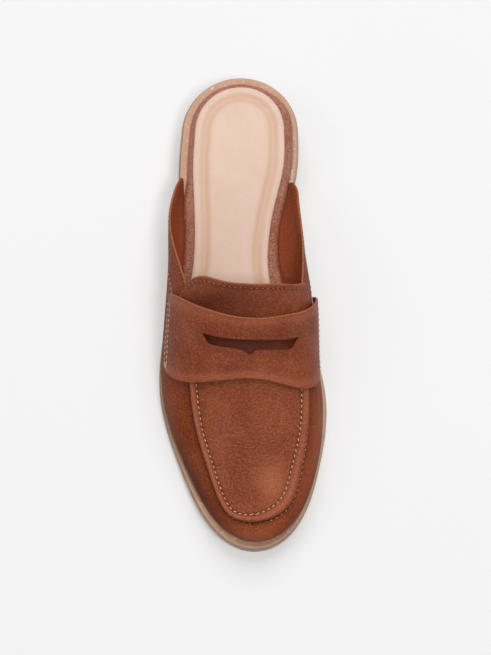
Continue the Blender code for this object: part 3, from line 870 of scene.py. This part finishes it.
def layered(name, materials, stations, inset, profile, spans=14, breast=0.0, heights=None, fields=None,
            narrower=None):
    """Closed layer of the bottom on a profile of (inset, height) from its underside to its top."""
    base = inset(stations)
    low, high = heights or (underside, underside)
    deep = len(profile)
    blend = np.linspace(0, 1, deep) if heights else np.zeros(deep)
    steps = np.linspace(0, 1, spans + 2)[1:-1]
    sides = {}
    for side in (LATERAL, MEDIAL):
        edge = base + (narrower[side](stations) if narrower else 0)
        sides[side] = np.stack([sole_edge(side, stations, edge + p[0])[0] for p in profile], 1)
    left = sides[LATERAL]
    right = sides[MEDIAL]
    top = left[:, -1:] + (right[:, -1:] - left[:, -1:]) * steps[:, None]
    bottom = right[:, :1] + (left[:, :1] - right[:, :1]) * steps[:, None]
    plan = np.concatenate([left, top, right[:, ::-1], bottom], 1)
    height = [p[1] for p in profile]
    ring = np.array(height + [height[-1]] * spans + height[::-1] + [height[0]] * spans)
    level = np.concatenate([blend, np.ones(spans) * blend[-1], blend[::-1], np.zeros(spans)])
    if breast:
        share = np.linalg.norm(plan - left[:, :1], axis=2) / np.maximum(
            np.linalg.norm(right[:, :1] - left[:, :1], axis=2), 1e-9)
        bow = breast * ease((stations - stations[-1] + 0.1) / 0.1)
        plan[..., 1] += bow[:, None] * np.clip(4 * share * (1 - share), 0, 1)
    along = along_at(plan[..., 1])
    ground = low(along) * (1 - level) + high(along) * level
    points = np.concatenate([plan, (ground + ring)[..., None]], -1)
    rows, count = points.shape[:2]
    number = np.arange(rows * count).reshape(rows, count)
    mirror = np.concatenate([np.arange(deep), np.full(spans, deep - 1), np.arange(deep)[::-1],
                             np.zeros(spans, int)])
    number[0] = mirror
    if stations[-1] >= 1:
        number[-1] = (rows - 1) * count + mirror
    closed = np.concatenate([number, number[:, :1]], 1)
    faces = grid_faces(closed, np.ones(closed.shape, bool))
    if stations[-1] < 1:
        last = number[-1]
        for j in range(spans + 1):
            before = 2 * deep + 2 * spans - j
            corners = (deep + j, deep - 1 + j, before % count, (before - 1) % count)
            faces.append([int(last[k]) for k in corners])
        faces.append([int(v) for v in last[:deep]])
        faces.append([int(v) for v in last[deep + spans:2 * deep + spans]])
    flat = points.reshape(-1, 3)
    edge_inset = [p[0] for p in profile]
    ring_inset = np.array(edge_inset + [FAR_IN] * spans + edge_inset[::-1] + [FAR_IN] * spans)
    values = {"inset": np.tile(ring_inset, rows)}
    if fields:
        values.update({k: np.tile(v(ring_inset), rows) for k, v in fields.items()})
    way = surface_normals(flat, [f for f in faces if len(f) < 5])
    if way[number[rows // 2, deep + spans // 2]][2] < 0:
        faces = [f[::-1] for f in faces]
    return make_piece(name, flat, faces, materials, None, values)


def nothing(along):
    return np.zeros(np.shape(along))


def footbed_inset(along):
    return feather_inset(along) + UPPER_WALL - 2 * GAP


def behind_wings(along):
    """1 round the heel, where no upper stands on the footbed's edge, fading out under the wings."""
    return ease((0.285 - along) / 0.07)


def sock_inset(along):
    return footbed_inset(along) + SOCK_INSET + 3 * GAP


def make_sole(outsole_rubber, welt_rubber):
    stations = sole_stations()
    sole = layered("sole_unit", [outsole_rubber], stations, nothing,
                   slab_profile(0, OUTSOLE_THICKNESS, 0.0007))
    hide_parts("outsole")
    welt = layered("welt_band", [welt_rubber], stations, lambda s: nothing(s) + WELT_STEP,
                   slab_profile(OUTSOLE_THICKNESS + HAIR, WELT_TOP, 0.0008))
    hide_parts("welt")


def make_footbed(wrap_leather):
    """Board in its leather wrap, which rolls over the edge."""
    low = WELT_TOP + HAIR
    turned = low + 0.0016
    wrap = [(0.0006, low), (0.0001, low + 0.0006), (0.0, turned)]
    for angle in np.linspace(0, pi / 2, 9)[1:]:
        wrap.append((SOCK_INSET * (1 - cos(angle)), turned + (BED_TOP - turned) * sin(angle)))
    wrap.append((0.0046, BED_TOP - 0.0002))
    narrower = {LATERAL: lambda s: 0.0027 * behind_wings(s),
                MEDIAL: lambda s: 0.0008 * behind_wings(s) + 0.0019 * (1 - ease(s / 0.08))}
    footbed = layered("wrapped_footbed", [wrap_leather], sole_stations(), footbed_inset, wrap,
                      narrower=narrower)
    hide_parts("footbed")


def make_sock(sock_leather):
    """Thin pad with a channel pressed in along its edge."""
    low = BED_TOP - 0.0001
    turned = low + 0.0005
    pad = [(0.0003, low), (0.0, turned)]
    for angle in np.linspace(0, pi / 2, 6)[1:]:
        pad.append((0.0010 * (1 - cos(angle)), turned + (SOCK_TOP - turned) * sin(angle)))
    for d in np.arange(0.0016, 0.0106, 0.0005):
        swell = 0.0003 * hump(d - 0.0028, 0.0018) + 0.0003 * ease((d - CHANNEL_FROM_EDGE) / 0.004)
        pad.append((d, SOCK_TOP + swell - CHANNEL_DEPTH * hump(d - CHANNEL_FROM_EDGE, CHANNEL_WIDTH)))
    channel = {"channel": lambda d: hump(d - CHANNEL_FROM_EDGE - 0.0002, CHANNEL_WIDTH)}
    narrower = {LATERAL: lambda s: 0.0012 + 0.0004 * ease((s - 0.12) / 0.15),
                MEDIAL: lambda s: (0.0012 - 0.0004 * ease((s - 0.12) / 0.15)
                                   + 0.0026 * ease((s - 0.33) / 0.14))}
    sock = layered("padded_sock", [sock_leather], sole_stations(), sock_inset, pad, spans=24,
                   fields=channel, narrower=narrower)
    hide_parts("insole_sock")


def make_heel(stack, lift_rubber):
    """Stacked block that tapers down to its lift, both with a curved breast."""
    stations = sole_stations(end=HEEL_LENGTH / SOLE_LENGTH, middle=80, ends=26)
    block_profile = [(HEEL_TAPER * (1 - t), 0.0) for t in np.linspace(0, 1, 12)]
    block = layered("stacked_heel", [stack], stations, lambda s: nothing(s) + HEEL_STEP, block_profile,
                    breast=BREAST_CURVE,
                    heights=(lambda s: nothing(s) + LIFT_THICKNESS, lambda s: underside(s) - HAIR))
    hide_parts("heel_block")
    lift = layered("heel_lift", [lift_rubber], stations, lambda s: nothing(s) + HEEL_STEP + HEEL_TAPER,
                   slab_profile(0, LIFT_THICKNESS - HAIR, 0.0006), breast=BREAST_CURVE,
                   heights=(nothing, nothing))
    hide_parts("heel_top_lift")


# Stitching

def even_walk(points, ways, pitch):
    """Places a pitch apart along a line on a surface: point, direction and way out."""
    gaps = np.linalg.norm(np.diff(points, axis=0), axis=1)
    travelled = np.concatenate([[0], np.cumsum(gaps)])
    count = max(2, int(travelled[-1] / pitch))
    at = (np.arange(count) + 0.5) * travelled[-1] / count
    step = 0.0003

    def along(values, where):
        return np.stack([np.interp(where, travelled, values[:, k]) for k in range(3)], 1)

    out = along(ways, at)
    out /= np.linalg.norm(out, axis=1, keepdims=True)
    direction = along(points, at + step) - along(points, at - step)
    direction -= out * (direction * out).sum(1, keepdims=True)
    direction /= np.linalg.norm(direction, axis=1, keepdims=True)
    return along(points, at), direction, out


def stitch_mesh(walks, length, thickness, slant=0.0, sink=0.0):
    """Arched threads, one for each place of the walks."""
    points = []
    faces = []
    sides = 7
    rings = 7
    turns = np.arange(sides) * 2 * pi / sides
    for spots, directions, outs in walks:
        for spot, direction, out in zip(spots, directions, outs):
            across = np.cross(out, direction)
            way = direction * cos(slant) + across * sin(slant)
            across = np.cross(out, way)
            start = len(points)
            for k in range(rings):
                t = 2 * k / (rings - 1) - 1
                middle = spot + way * t * length / 2 + out * (thickness * (0.55 - 1.15 * t ** 4) - sink)
                radius = thickness * (0.55 - 0.2 * t ** 2)
                for turn in turns:
                    points.append(middle + across * cos(turn) * radius + out * sin(turn) * radius * 0.85)
            for k in range(rings - 1):
                for j in range(sides):
                    a = start + k * sides + j
                    b = start + k * sides + (j + 1) % sides
                    faces.append([b, a, a + sides, b + sides])
            faces.append([start + j for j in range(sides)])
            faces.append([start + (rings - 1) * sides + j for j in reversed(range(sides))])
    return np.array(points), faces


def hole_mesh(walks, pitch_ends, radius):
    """Small dark cones at the ends of stitches: painted shade of the needle holes."""
    points = []
    faces = []
    sides = 8
    for spots, directions, outs in walks:
        for spot, direction, out in zip(spots, directions, outs):
            across = np.cross(out, direction)
            for end in (-1, 1):
                middle = spot + direction * end * pitch_ends / 2 + out * 0.00003
                start = len(points)
                points.append(middle + out * 0.00006)
                for k in range(sides):
                    turn = 2 * pi * k / sides
                    way = direction * cos(turn) + across * sin(turn)
                    points.append(middle + way * radius - out * 0.00008)
                for k in range(sides):
                    faces.append([start, start + 1 + k, start + 1 + (k + 1) % sides])
                faces.append([start + 1 + k for k in reversed(range(sides))])
    return np.array(points), faces


def add_stitches(name, walks, paint, length, thickness, slant=0.0, sink=0.0, holes=0.0, thread="thread"):
    points, faces = stitch_mesh(walks, length, thickness, slant, sink)
    make_piece(name, points, faces, [paint[thread]])
    # Dark cones of painted shade at the needle holes.
    if holes:
        points, faces = hole_mesh(walks, length * 1.02, holes)
        make_piece(name + "_holes", points, faces, [paint["hole"]], sharp=3.0)


def seam_walk(from_seam, pitch, height):
    """Along the moc seam at a distance inside it, from the strap round the toe and back."""
    runs = []
    for side, start in ((LATERAL, 0.665), (MEDIAL, 0.672)):
        toe = 0.96 + 0.0398 * np.sin(np.linspace(0, pi / 2, 40))[1:]
        station = np.concatenate([np.linspace(start, 0.96, 70), toe])
        inside = from_seam * bead_scale(side, station)
        share = inside / apron_length(station)
        across = between_seams(station, share if side < 0 else 1 - share)
        runs.append(on_upper(station, across, height(station, inside, side)))
    points, ways = [np.concatenate([runs[0][k], runs[1][k][::-1]]) for k in (0, 1)]
    return even_walk(points, ways, pitch)


def add_moc_stitches(paint):
    """Pale thread along the plug, and a row outside the seam that is pale on the medial side only."""
    inner = seam_walk(PLUG_STITCH, 0.0030, apron_height)
    add_stitches("plug_stitches", [inner], paint, 0.0018, 0.00055, slant=0.2, sink=0.00005, holes=0.00042)
    outer = seam_walk(-0.0008, 0.0032, lambda s, d, side: np.zeros(len(s)) - 0.0001)
    pale = outer[0][:, 0] > 0.0148
    medial, rest = [tuple(part[chosen] for part in outer) for chosen in (pale, ~pale)]
    add_stitches("outer_seam_stitches_medial", [medial], paint, 0.0011, 0.00034, sink=0.00004, holes=0.00036)
    add_stitches("outer_seam_stitches", [rest], paint, 0.0014, 0.00032, sink=0.00012, holes=0.00048,
                 thread="brown_thread")


def add_tongue_stitches(paint):
    """A row behind the tongue's rear edge, and one down each of its sides."""
    start = THROAT + 0.0021 / SOLE_LENGTH
    share = np.linspace(0.035, 0.965, 120)
    station = bend_to_tongue(np.full(120, start), share, 0.0)
    lines = [(station, share)]
    for side, end in ((LATERAL, 0.515), (MEDIAL, 0.512)):
        station = np.linspace(start, end, 30)
        share = 0.0019 / apron_length(station)
        lines.append((station, share if side < 0 else 1 - share))
    walks = []
    for station, share in lines:
        points, facing = on_upper(station, between_seams(station, share), GAP + APRON_WALL)
        walks.append(even_walk(points, facing, 0.0029))
    add_stitches("tongue_stitches", walks, paint, 0.0017, 0.00036, sink=0.00006, holes=0.00042,
                 thread="brown_thread")


def add_strap_stitches(paint):
    """Two rows across each end of the strap, and a close tack at their front."""
    length, _ = strap_size()

    def walk(share, down, pitch):
        points, facing = on_upper(*strap_place(share, down), strap_lift(share) + STRAP_WALL)
        return even_walk(points, facing, pitch)

    rows = []
    tacks = []
    for end in (0, 1):
        for from_end in (0.0014, 0.0052):
            share = np.full(60, abs(end - from_end / length))
            rows.append(walk(share, np.linspace(0.10, 0.90, 60), 0.0029))
        for down in (0.905, 0.925, 0.945):
            share = np.abs(end - np.linspace(0.0010, 0.0052, 12) / length)
            tacks.append(walk(share, np.full(12, down), 0.0014))
    add_stitches("strap_stitches", rows, paint, 0.0021, 0.00044, slant=0.12, sink=0.00004, holes=0.00038)
    add_stitches("strap_bartacks", tacks, paint, 0.0016, 0.00046)


def collar_walk(side, inside, from_edge, pitch):
    """Along a wing's collar, on its outside or on the lining."""
    share = np.linspace(0.05, 0.985, 90)
    name = SIDE_NAMES[side]
    station = WING_TIPS[side] + (THROAT - WING_TIPS[side]) * share
    collar = smooth(COLLAR, name, share) * smooth(SEAM, name, THROAT)
    below = upper_point(side, station, collar * 0.9)
    rib = np.linalg.norm(upper_point(side, station, collar) - below, axis=1)
    across = side * (1 - collar * (1 - 0.1 * from_edge / rib))
    if inside:
        points, facing = on_upper(station, across, -(skived(from_edge) + 0.00012))
        return even_walk(points, -facing, pitch)
    return even_walk(*on_upper(station, across), pitch)


def add_collar_stitches(paint):
    """Brown rows along the collar, outside and on the lining, and a pale one across each wing."""
    walks = [collar_walk(side, False, 0.0019, 0.0026) for side in (LATERAL, MEDIAL)]
    add_stitches("collar_stitches", walks, paint, 0.0013, 0.00030, sink=0.00008, holes=0.00036,
                 thread="brown_thread")
    walks = [collar_walk(side, True, 0.0026, 0.0024) for side in (LATERAL, MEDIAL)]
    add_stitches("collar_lining_stitches", walks, paint, 0.0012, 0.00030, sink=0.00004, holes=0.00055,
                 thread="brown_thread")
    walks = []
    for side, ups in ((LATERAL, (0.300, 0.395, 0.43)), (MEDIAL, (0.25, 0.33, 0.37))):
        station = np.linspace(0.435, 0.512, 60)
        t = np.linspace(0, 1, 60)
        up = ups[0] * (1 - t) ** 2 + 2 * ups[1] * t * (1 - t) + ups[2] * t ** 2
        walks.append(even_walk(*on_upper(station, side * (1 - up)), 0.0029))
    add_stitches("quarter_stitches", walks, paint, 0.0019, 0.00042, sink=0.00004, holes=0.00036)


# Shader making

def add_node(tree, kind, inputs=None, **settings):
    """A shader node with its settings and inputs, where an input is a value or another socket."""
    made = tree.nodes.new(kind)
    for name, value in settings.items():
        setattr(made, name, value)
    for name, value in (inputs or {}).items():
        if isinstance(value, bpy.types.NodeSocket):
            tree.links.new(value, made.inputs[name])
        else:
            made.inputs[name].default_value = value
    return made


def blend_colour(tree, share, first, second):
    made = add_node(tree, 'ShaderNodeMix', {0: share, 6: first, 7: second}, data_type='RGBA')
    made.clamp_result = True
    return made.outputs[2]


def sum_of(tree, first, second, way='ADD', clamp=False):
    return add_node(tree, 'ShaderNodeMath', {0: first, 1: second}, operation=way, use_clamp=clamp).outputs[0]


def spread(tree, value, low, high, to_low=0.0, to_high=1.0):
    """A value moved from one range to another."""
    made = add_node(tree, 'ShaderNodeMapRange', {"Value": value, "From Min": low, "From Max": high,
                                              "To Min": to_low, "To Max": to_high})
    return made.outputs["Result"]


def field(tree, name):
    made = add_node(tree, 'ShaderNodeAttribute', attribute_name=name, attribute_type='GEOMETRY')
    return made.outputs["Fac"]


def stretched(tree, scale, turn=(0, 0, 0)):
    """Coordinates in the shoe's own metres, stretched."""
    where = add_node(tree, 'ShaderNodeTexCoord').outputs["Object"]
    inputs = {"Vector": where, "Scale": scale, "Rotation": turn}
    return add_node(tree, 'ShaderNodeMapping', inputs).outputs["Vector"]


def new_group(name, inputs, outputs):
    """An empty shader group with named sockets."""
    group = bpy.data.node_groups.new(name, 'ShaderNodeTree')
    for label, kind, value in inputs:
        socket = group.interface.new_socket(label, in_out='INPUT', socket_type='NodeSocket' + kind)
        socket.default_value = value
    for label, kind in outputs:
        group.interface.new_socket(label, in_out='OUTPUT', socket_type='NodeSocket' + kind)
    source = group.nodes.new('NodeGroupInput')
    sink = group.nodes.new('NodeGroupOutput')
    return group, source.outputs, sink.inputs


def use_group(tree, group, inputs):
    return add_node(tree, 'ShaderNodeGroup', inputs, node_tree=group).outputs


def noise(tree, scale, detail, stretch=(1, 1, 1), turn=(0, 0, 0), **extra):
    """Noise in the shoe's own metres. Extra values go to inputs of those names."""
    inputs = {"Vector": stretched(tree, stretch, turn), "Scale": scale, "Detail": detail, **extra}
    return add_node(tree, 'ShaderNodeTexNoise', inputs).outputs["Fac"]


def times(tree, first, second, clamp=False):
    return sum_of(tree, first, second, 'MULTIPLY', clamp)


def add_bump(tree, shader, height, strength, distance):
    bump = add_node(tree, 'ShaderNodeBump', {"Strength": strength, "Distance": distance, "Height": height})
    tree.links.new(bump.outputs["Normal"], shader.inputs["Normal"])


def make_hide_tone():
    """Mottled leather colour with raw edges, darkened by burnish and painted shade, and lightened by painted
    highlight.
    """
    group, given, out = new_group("hide_tone", [
        ("Dark", 'Color', (0.10, 0.02, 0.01, 1)),
        ("Mid", 'Color', (0.26, 0.065, 0.024, 1)),
        ("Light", 'Color', (0.42, 0.14, 0.06, 1)),
        ("Raw Edge", 'Color', (0.60, 0.27, 0.13, 1)),
        ("Mottle", 'Float', 0.5),
        ("Fleck", 'Float', 1.0),
        ("Burnish_And_Shade", 'Float', 0.0),
        ("Painted_Highlight", 'Float', 0.0),
        ("Edge", 'Float', 0.0),
    ], [("Color", 'Color')])
    broad = noise(group, 55.0, 3.0, (1, 0.8, 1), Roughness=0.6, Distortion=0.6)
    patch = spread(group, broad, 0.32, 0.68)
    fleck = spread(group, noise(group, 900.0, 3.0, Roughness=0.6), 0.3, 0.7)
    lighter = times(group, patch, given["Mottle"])
    darker = times(group, sum_of(group, 1.0, patch, 'SUBTRACT'), given["Mottle"])
    dark_fleck = times(group, spread(group, fleck, 0.0, 1.0, 0.48, 0.0), given["Fleck"])
    light_fleck = times(group, spread(group, fleck, 0.4, 1.0, 0.0, 0.35), given["Fleck"])
    # Burnish and painted shade, varied over the hide.
    darkening = times(group, given["Burnish_And_Shade"], spread(group, broad, 0.3, 0.7, 0.55, 1.15), True)
    raw = times(group, given["Edge"], spread(group, fleck, 0.0, 1.0, 0.8, 1.0), True)
    colour = blend_colour(group, times(group, lighter, 0.62), given["Mid"], given["Light"])
    for share, towards in ((times(group, darker, 0.40), "Dark"), (dark_fleck, "Dark"), (light_fleck, "Light"),
                           (times(group, darkening, 0.85), "Dark"), (given["Painted_Highlight"], "Light"), (raw, "Raw Edge")):
        colour = blend_colour(group, share, colour, given[towards])
    group.links.new(colour, out["Color"])
    return group


def make_hide_grain():
    """Height of a full-grain hide: pebble, pores and fine stretch lines."""
    group, given, out = new_group("hide_grain", [
        ("Pebble", 'Float', 1.0),
        ("Stretch Lines", 'Float', 0.3),
        ("Cell Scale", 'Float', 1500.0),
    ], [("Height", 'Float'), ("Pores", 'Float')])
    cells = add_node(group, 'ShaderNodeTexVoronoi', {"Vector": stretched(group, (1, 1, 1)),
                                                     "Scale": given["Cell Scale"], "Randomness": 1.0})
    distance = cells.outputs["Distance"]
    pebble = times(group, spread(group, distance, 0.0, 0.9, 1.0, 0.0), given["Pebble"])
    rough = times(group, noise(group, 900.0, 3.0), 0.6)
    lines = noise(group, 520.0, 2.0, (0.35, 1.6, 1), (0, 0, 0.25), Distortion=0.8)
    pulled = times(group, spread(group, lines, 0.35, 0.65), given["Stretch Lines"])
    group.links.new(sum_of(group, sum_of(group, pebble, rough), pulled), out["Height"])
    group.links.new(spread(group, distance, 0.45, 0.85), out["Pores"])
    return group


def make_crease_mask():
    """1 on the plug and vamp where the forefoot has creased them."""
    group, given, out = new_group("forefoot_mask", [("Start", 'Float', -0.205), ("End", 'Float', -0.158)],
                                  [("Mask", 'Float')])
    where = add_node(group, 'ShaderNodeTexCoord').outputs["Object"]
    y = add_node(group, 'ShaderNodeSeparateXYZ', {"Vector": where}).outputs["Y"]
    slopes = []
    for start, end, at_start in ((given["Start"], sum_of(group, given["Start"], 0.02), 0.0),
                                 (sum_of(group, given["End"], -0.02), given["End"], 1.0)):
        slope = add_node(group, 'ShaderNodeMapRange', {
            "Value": y, "From Min": start, "From Max": end, "To Min": at_start, "To Max": 1.0 - at_start,
        }, interpolation_type='SMOOTHSTEP')
        slopes.append(slope.outputs["Result"])
    group.links.new(times(group, *slopes), out["Mask"])
    return group


def make_dust():
    """Pale scuffs and dust specks."""
    group, given, out = new_group("pale_scuffs", [("Amount", 'Float', 0.4), ("Size", 'Float', 500.0)],
                                  [("Mask", 'Float')])
    sharp = spread(group, noise(group, given["Size"], 5.0, Roughness=0.7), 0.56, 0.66)
    broad = spread(group, noise(group, 60.0, 2.0), 0.42, 0.62)
    group.links.new(times(group, times(group, sharp, broad), given["Amount"], True), out["Mask"])
    return group


def new_material(name):
    material = bpy.data.materials.new(name)
    material.use_nodes = True
    tree = material.node_tree
    shader = tree.nodes["Principled BSDF"]
    return material, tree, shader


def set_values(shader, **values):
    for name, value in values.items():
        shader.inputs[name.replace("_", " ")].default_value = value


def leather(name, groups, dark, mid, light, raw, mottle=0.5, roughness=(0.38, 0.52), pebble=1.0, lines=0.2,
            cell=1500.0, depth=0.00025, creased=0.0, fields=True, shine=0.2):
    """Leather from the shared groups, with its own colours, grain and gloss."""
    material, tree, shader = new_material(name)
    tone_inputs = {"Dark": (*dark, 1), "Mid": (*mid, 1), "Light": (*light, 1), "Raw Edge": (*raw, 1),
                   "Mottle": mottle}
    if fields:
        # The pieces' fields bring burnish with painted shade, painted highlight and raw edges.
        tone_inputs.update({label: field(tree, label.lower()) for label in ("Burnish_And_Shade", "Painted_Highlight", "Edge")})
    tone = use_group(tree, groups["tone"], tone_inputs)["Color"]
    if creased:
        mask = use_group(tree, groups["crease"], {})["Mask"]
        lines = sum_of(tree, times(tree, mask, creased), lines)
    grain = use_group(tree, groups["grain"], {"Pebble": pebble, "Stretch Lines": lines, "Cell Scale": cell})
    colour = blend_colour(tree, times(tree, grain["Pores"], 0.35), tone, (*dark, 1))
    tree.links.new(colour, shader.inputs["Base Color"])
    tree.links.new(spread(tree, noise(tree, 85.0, 4.0), 0.3, 0.7, *roughness), shader.inputs["Roughness"])
    add_bump(tree, shader, grain["Height"], 0.9, depth)
    set_values(shader, Specular_IOR_Level=shine)
    return material


def rubber(name, groups, colour, pale, amount, roughness=0.75, band=None):
    """Moulded or cut sole edge with dust in it, and a band of another colour at its rim."""
    material, tree, shader = new_material(name)
    mask = use_group(tree, groups["dust"], {"Amount": amount})["Mask"]
    mottled = noise(tree, 160.0, 4.0, (1, 1, 3))
    darker = [c * 0.62 for c in colour]
    shade = blend_colour(tree, spread(tree, mottled, 0.3, 0.7, 0.0, 0.35), (*colour, 1), (*darker, 1))
    if band:
        shade = blend_colour(tree, spread(tree, field(tree, "inset"), 0.0004, 0.0016), (*band, 1), shade)
    tree.links.new(blend_colour(tree, mask, shade, (*pale, 1)), shader.inputs["Base Color"])
    tree.links.new(spread(tree, mask, 0.0, 1.0, roughness, roughness + 0.15), shader.inputs["Roughness"])
    add_bump(tree, shader, mottled, 0.5, 0.0001)
    set_values(shader, Specular_IOR_Level=0.3)
    return material


def make_stack():
    """Stacked leather heel: thin lifts with fine dark joints."""
    material, tree, shader = new_material("stacked_lifts")
    where = add_node(tree, 'ShaderNodeTexCoord').outputs["Object"]
    z = add_node(tree, 'ShaderNodeSeparateXYZ', {"Vector": where}).outputs["Z"]
    rings = sum_of(tree, times(tree, z, 1 / STACK_SHEET), 1.0, 'MODULO')
    joint = spread(tree, rings, 0.0, 0.06, 1.0, 0.0)
    wave = noise(tree, 240.0, 5.0, (1, 1, 9))
    shade = blend_colour(tree, spread(tree, wave, 0.3, 0.7), (0.36, 0.20, 0.11, 1), (0.50, 0.31, 0.19, 1))
    colour = blend_colour(tree, times(tree, joint, 0.7), shade, (0.10, 0.045, 0.02, 1))
    tree.links.new(colour, shader.inputs["Base Color"])
    tree.links.new(spread(tree, wave, 0.3, 0.7, 0.42, 0.6), shader.inputs["Roughness"])
    add_bump(tree, shader, sum_of(tree, wave, joint, 'SUBTRACT'), 0.6, 0.00015)
    return material


def make_sock_leather(groups):
    """Pale padded sock, with painted shade darker and warmer in its pressed channel."""
    material, tree, shader = new_material("pale_sock_leather")
    tone = use_group(tree, groups["tone"], {
        "Dark": (0.56, 0.35, 0.24, 1), "Mid": (0.74, 0.53, 0.42, 1), "Light": (0.82, 0.63, 0.53, 1),
        "Mottle": 0.35, "Fleck": 0.3,
    })["Color"]
    # Painted shade in the pressed channel.
    channel_shade = spread(tree, field(tree, "channel"), 0.0, 1.0, 0.0, 0.8)
    tree.links.new(blend_colour(tree, channel_shade, tone, (0.66, 0.42, 0.28, 1)), shader.inputs["Base Color"])
    grain = use_group(tree, groups["grain"], {"Pebble": 0.8, "Stretch Lines": 0.1, "Cell Scale": 1300.0})
    tree.links.new(spread(tree, grain["Pores"], 0.0, 1.0, 0.5, 0.62), shader.inputs["Roughness"])
    add_bump(tree, shader, grain["Height"], 0.35, 0.00008)
    set_values(shader, Specular_IOR_Level=0.35, Sheen_Weight=0.1)
    return material


def make_thread(name, dark, light):
    """Waxed thread with its twist."""
    material, tree, shader = new_material(name)
    waves = add_node(tree, 'ShaderNodeTexWave', {"Vector": stretched(tree, (1, 1, 1), (0.3, 0.2, 0.7)),
                                                 "Scale": 1400.0, "Distortion": 1.5})
    twist = waves.outputs["Fac"]
    tree.links.new(blend_colour(tree, twist, (*dark, 1), (*light, 1)), shader.inputs["Base Color"])
    add_bump(tree, shader, twist, 0.6, 0.0001)
    set_values(shader, Roughness=0.6, Sheen_Weight=0.2)
    return material


def make_paint():
    groups = {"tone": make_hide_tone(), "grain": make_hide_grain(), "crease": make_crease_mask(),
              "dust": make_dust()}
    raw = (0.42, 0.14, 0.055)
    tan = (groups, (0.075, 0.012, 0.004), (0.29, 0.055, 0.015), (0.48, 0.145, 0.065), raw)
    lining = (groups, (0.20, 0.042, 0.015), (0.44, 0.100, 0.036), (0.56, 0.16, 0.07), raw)
    wrap = (groups, (0.16, 0.04, 0.018), (0.42, 0.135, 0.070), (0.75, 0.38, 0.26), raw)
    dark = (groups, (0.02, 0.006, 0.003), (0.05, 0.014, 0.006), (0.10, 0.03, 0.014), raw)
    return {
        "upper": leather("vamp_leather", *tan, mottle=0.45, lines=0.2, creased=0.4, shine=0.04),
        "apron": leather("plug_leather", *tan, mottle=0.55, lines=0.3, creased=0.8, depth=0.0003, shine=0.2),
        "strap": leather("strap_grain_leather", *tan, mottle=0.6, lines=0.15, shine=0.2),
        "lining": leather("lining_leather", *lining, mottle=0.35, roughness=(0.5, 0.62), pebble=0.6),
        "wrap": leather("wrap_leather", *wrap, mottle=0.6, roughness=(0.3, 0.45), pebble=1.6, cell=1500.0,
                        depth=0.0003, fields=False, shine=0.6),
        "sock": make_sock_leather(groups),
        "welt": rubber("welt_rubber_tan", groups, (0.60, 0.34, 0.22), (0.85, 0.76, 0.68), 0.8,
                       band=(0.56, 0.36, 0.25)),
        "outsole": rubber("outsole_rubber_tan", groups, (0.47, 0.33, 0.235), (0.80, 0.72, 0.64), 0.6),
        "lift": rubber("lift_rubber_dark", groups, (0.06, 0.042, 0.03), (0.30, 0.26, 0.22), 0.3),
        "stack": make_stack(),
        "thread": make_thread("waxed_thread", (0.55, 0.28, 0.14), (0.86, 0.55, 0.34)),
        "brown_thread": make_thread("brown_waxed_thread", (0.22, 0.08, 0.03), (0.50, 0.23, 0.11)),
        # Near-black leather for the painted shade of the needle holes.
        "hole": leather("needle_hole_shade", *dark, fields=False),
    }


# Surroundings

def make_floor():
    """Plain pale floor."""
    mesh = bpy.data.meshes.new("studio_floor")
    reach = 3.0
    corners = [(-reach, -reach, 0), (reach, -reach, 0), (reach, reach, 0), (-reach, reach, 0)]
    mesh.from_pydata(corners, [], [[0, 1, 2, 3]])
    floor = bpy.data.objects.new("studio_floor", mesh)
    bpy.context.scene.collection.objects.link(floor)
    material, tree, shader = new_material("pale_floor")
    colour = blend_colour(tree, noise(tree, 4.0, 2.0), (0.575, 0.575, 0.58, 1), (0.59, 0.59, 0.59, 1))
    tree.links.new(colour, shader.inputs["Base Color"])
    tree.links.new(colour, shader.inputs["Emission Color"])
    set_values(shader, Roughness=0.9, Specular_IOR_Level=0.1, Emission_Strength=0.52)
    mesh.materials.append(material)


def add_light(name, location, aim, size, power):
    lamp = bpy.data.lights.new(name, 'AREA')
    lamp.shape = 'DISK'
    lamp.size = size
    lamp.energy = power
    obj = bpy.data.objects.new(name, lamp)
    bpy.context.scene.collection.objects.link(obj)
    obj.location = location
    obj.rotation_euler = (Vector(aim) - Vector(location)).to_track_quat('-Z', 'Y').to_euler()


def make_studio():
    world = bpy.data.worlds.new("studio")
    bpy.context.scene.world = world
    world.use_nodes = True
    background = world.node_tree.nodes["Background"]
    background.inputs["Color"].default_value = (1.0, 1.0, 1.0, 1)
    background.inputs["Strength"].default_value = 0.20
    middle = (0, -0.1, 0.02)
    add_light("overhead", (0.12, 0.70, 1.7), middle, 1.4, 21)
    add_light("key", (0.34, -0.52, 1.85), middle, 0.4, 12)
    add_light("fill", (-1.0, -0.2, 1.4), middle, 1.0, 3)
    bpy.context.scene.view_settings.view_transform = 'Standard'


def make_camera():
    """Camera at the photograph's angle: almost straight down, from slightly in front of the toe."""
    elevation = radians(CAMERA_ELEVATION)
    data = bpy.data.cameras.new("camera")
    data.sensor_width = 36
    data.lens = CAMERA_LENS
    data.shift_x, data.shift_y = CAMERA_SHIFT
    camera = bpy.data.objects.new("camera", data)
    bpy.context.scene.collection.objects.link(camera)
    x, y, z = CAMERA_TARGET
    camera.location = (x, y - CAMERA_DISTANCE * cos(elevation), z + CAMERA_DISTANCE * sin(elevation))
    camera.rotation_euler = (pi / 2 - elevation, 0, 0)
    bpy.context.scene.camera = camera


make_camera()
make_studio()
make_floor()
paint = make_paint()
make_sole(paint["outsole"], paint["welt"])
make_footbed(paint["wrap"])
make_sock(paint["sock"])
make_heel(paint["stack"], paint["lift"])
make_upper(paint["upper"], paint["lining"])
make_apron(paint["apron"], paint["lining"])
make_strap(paint["strap"], paint["lining"])
add_moc_stitches(paint)
add_tongue_stitches(paint)
add_strap_stitches(paint)
add_collar_stitches(paint)
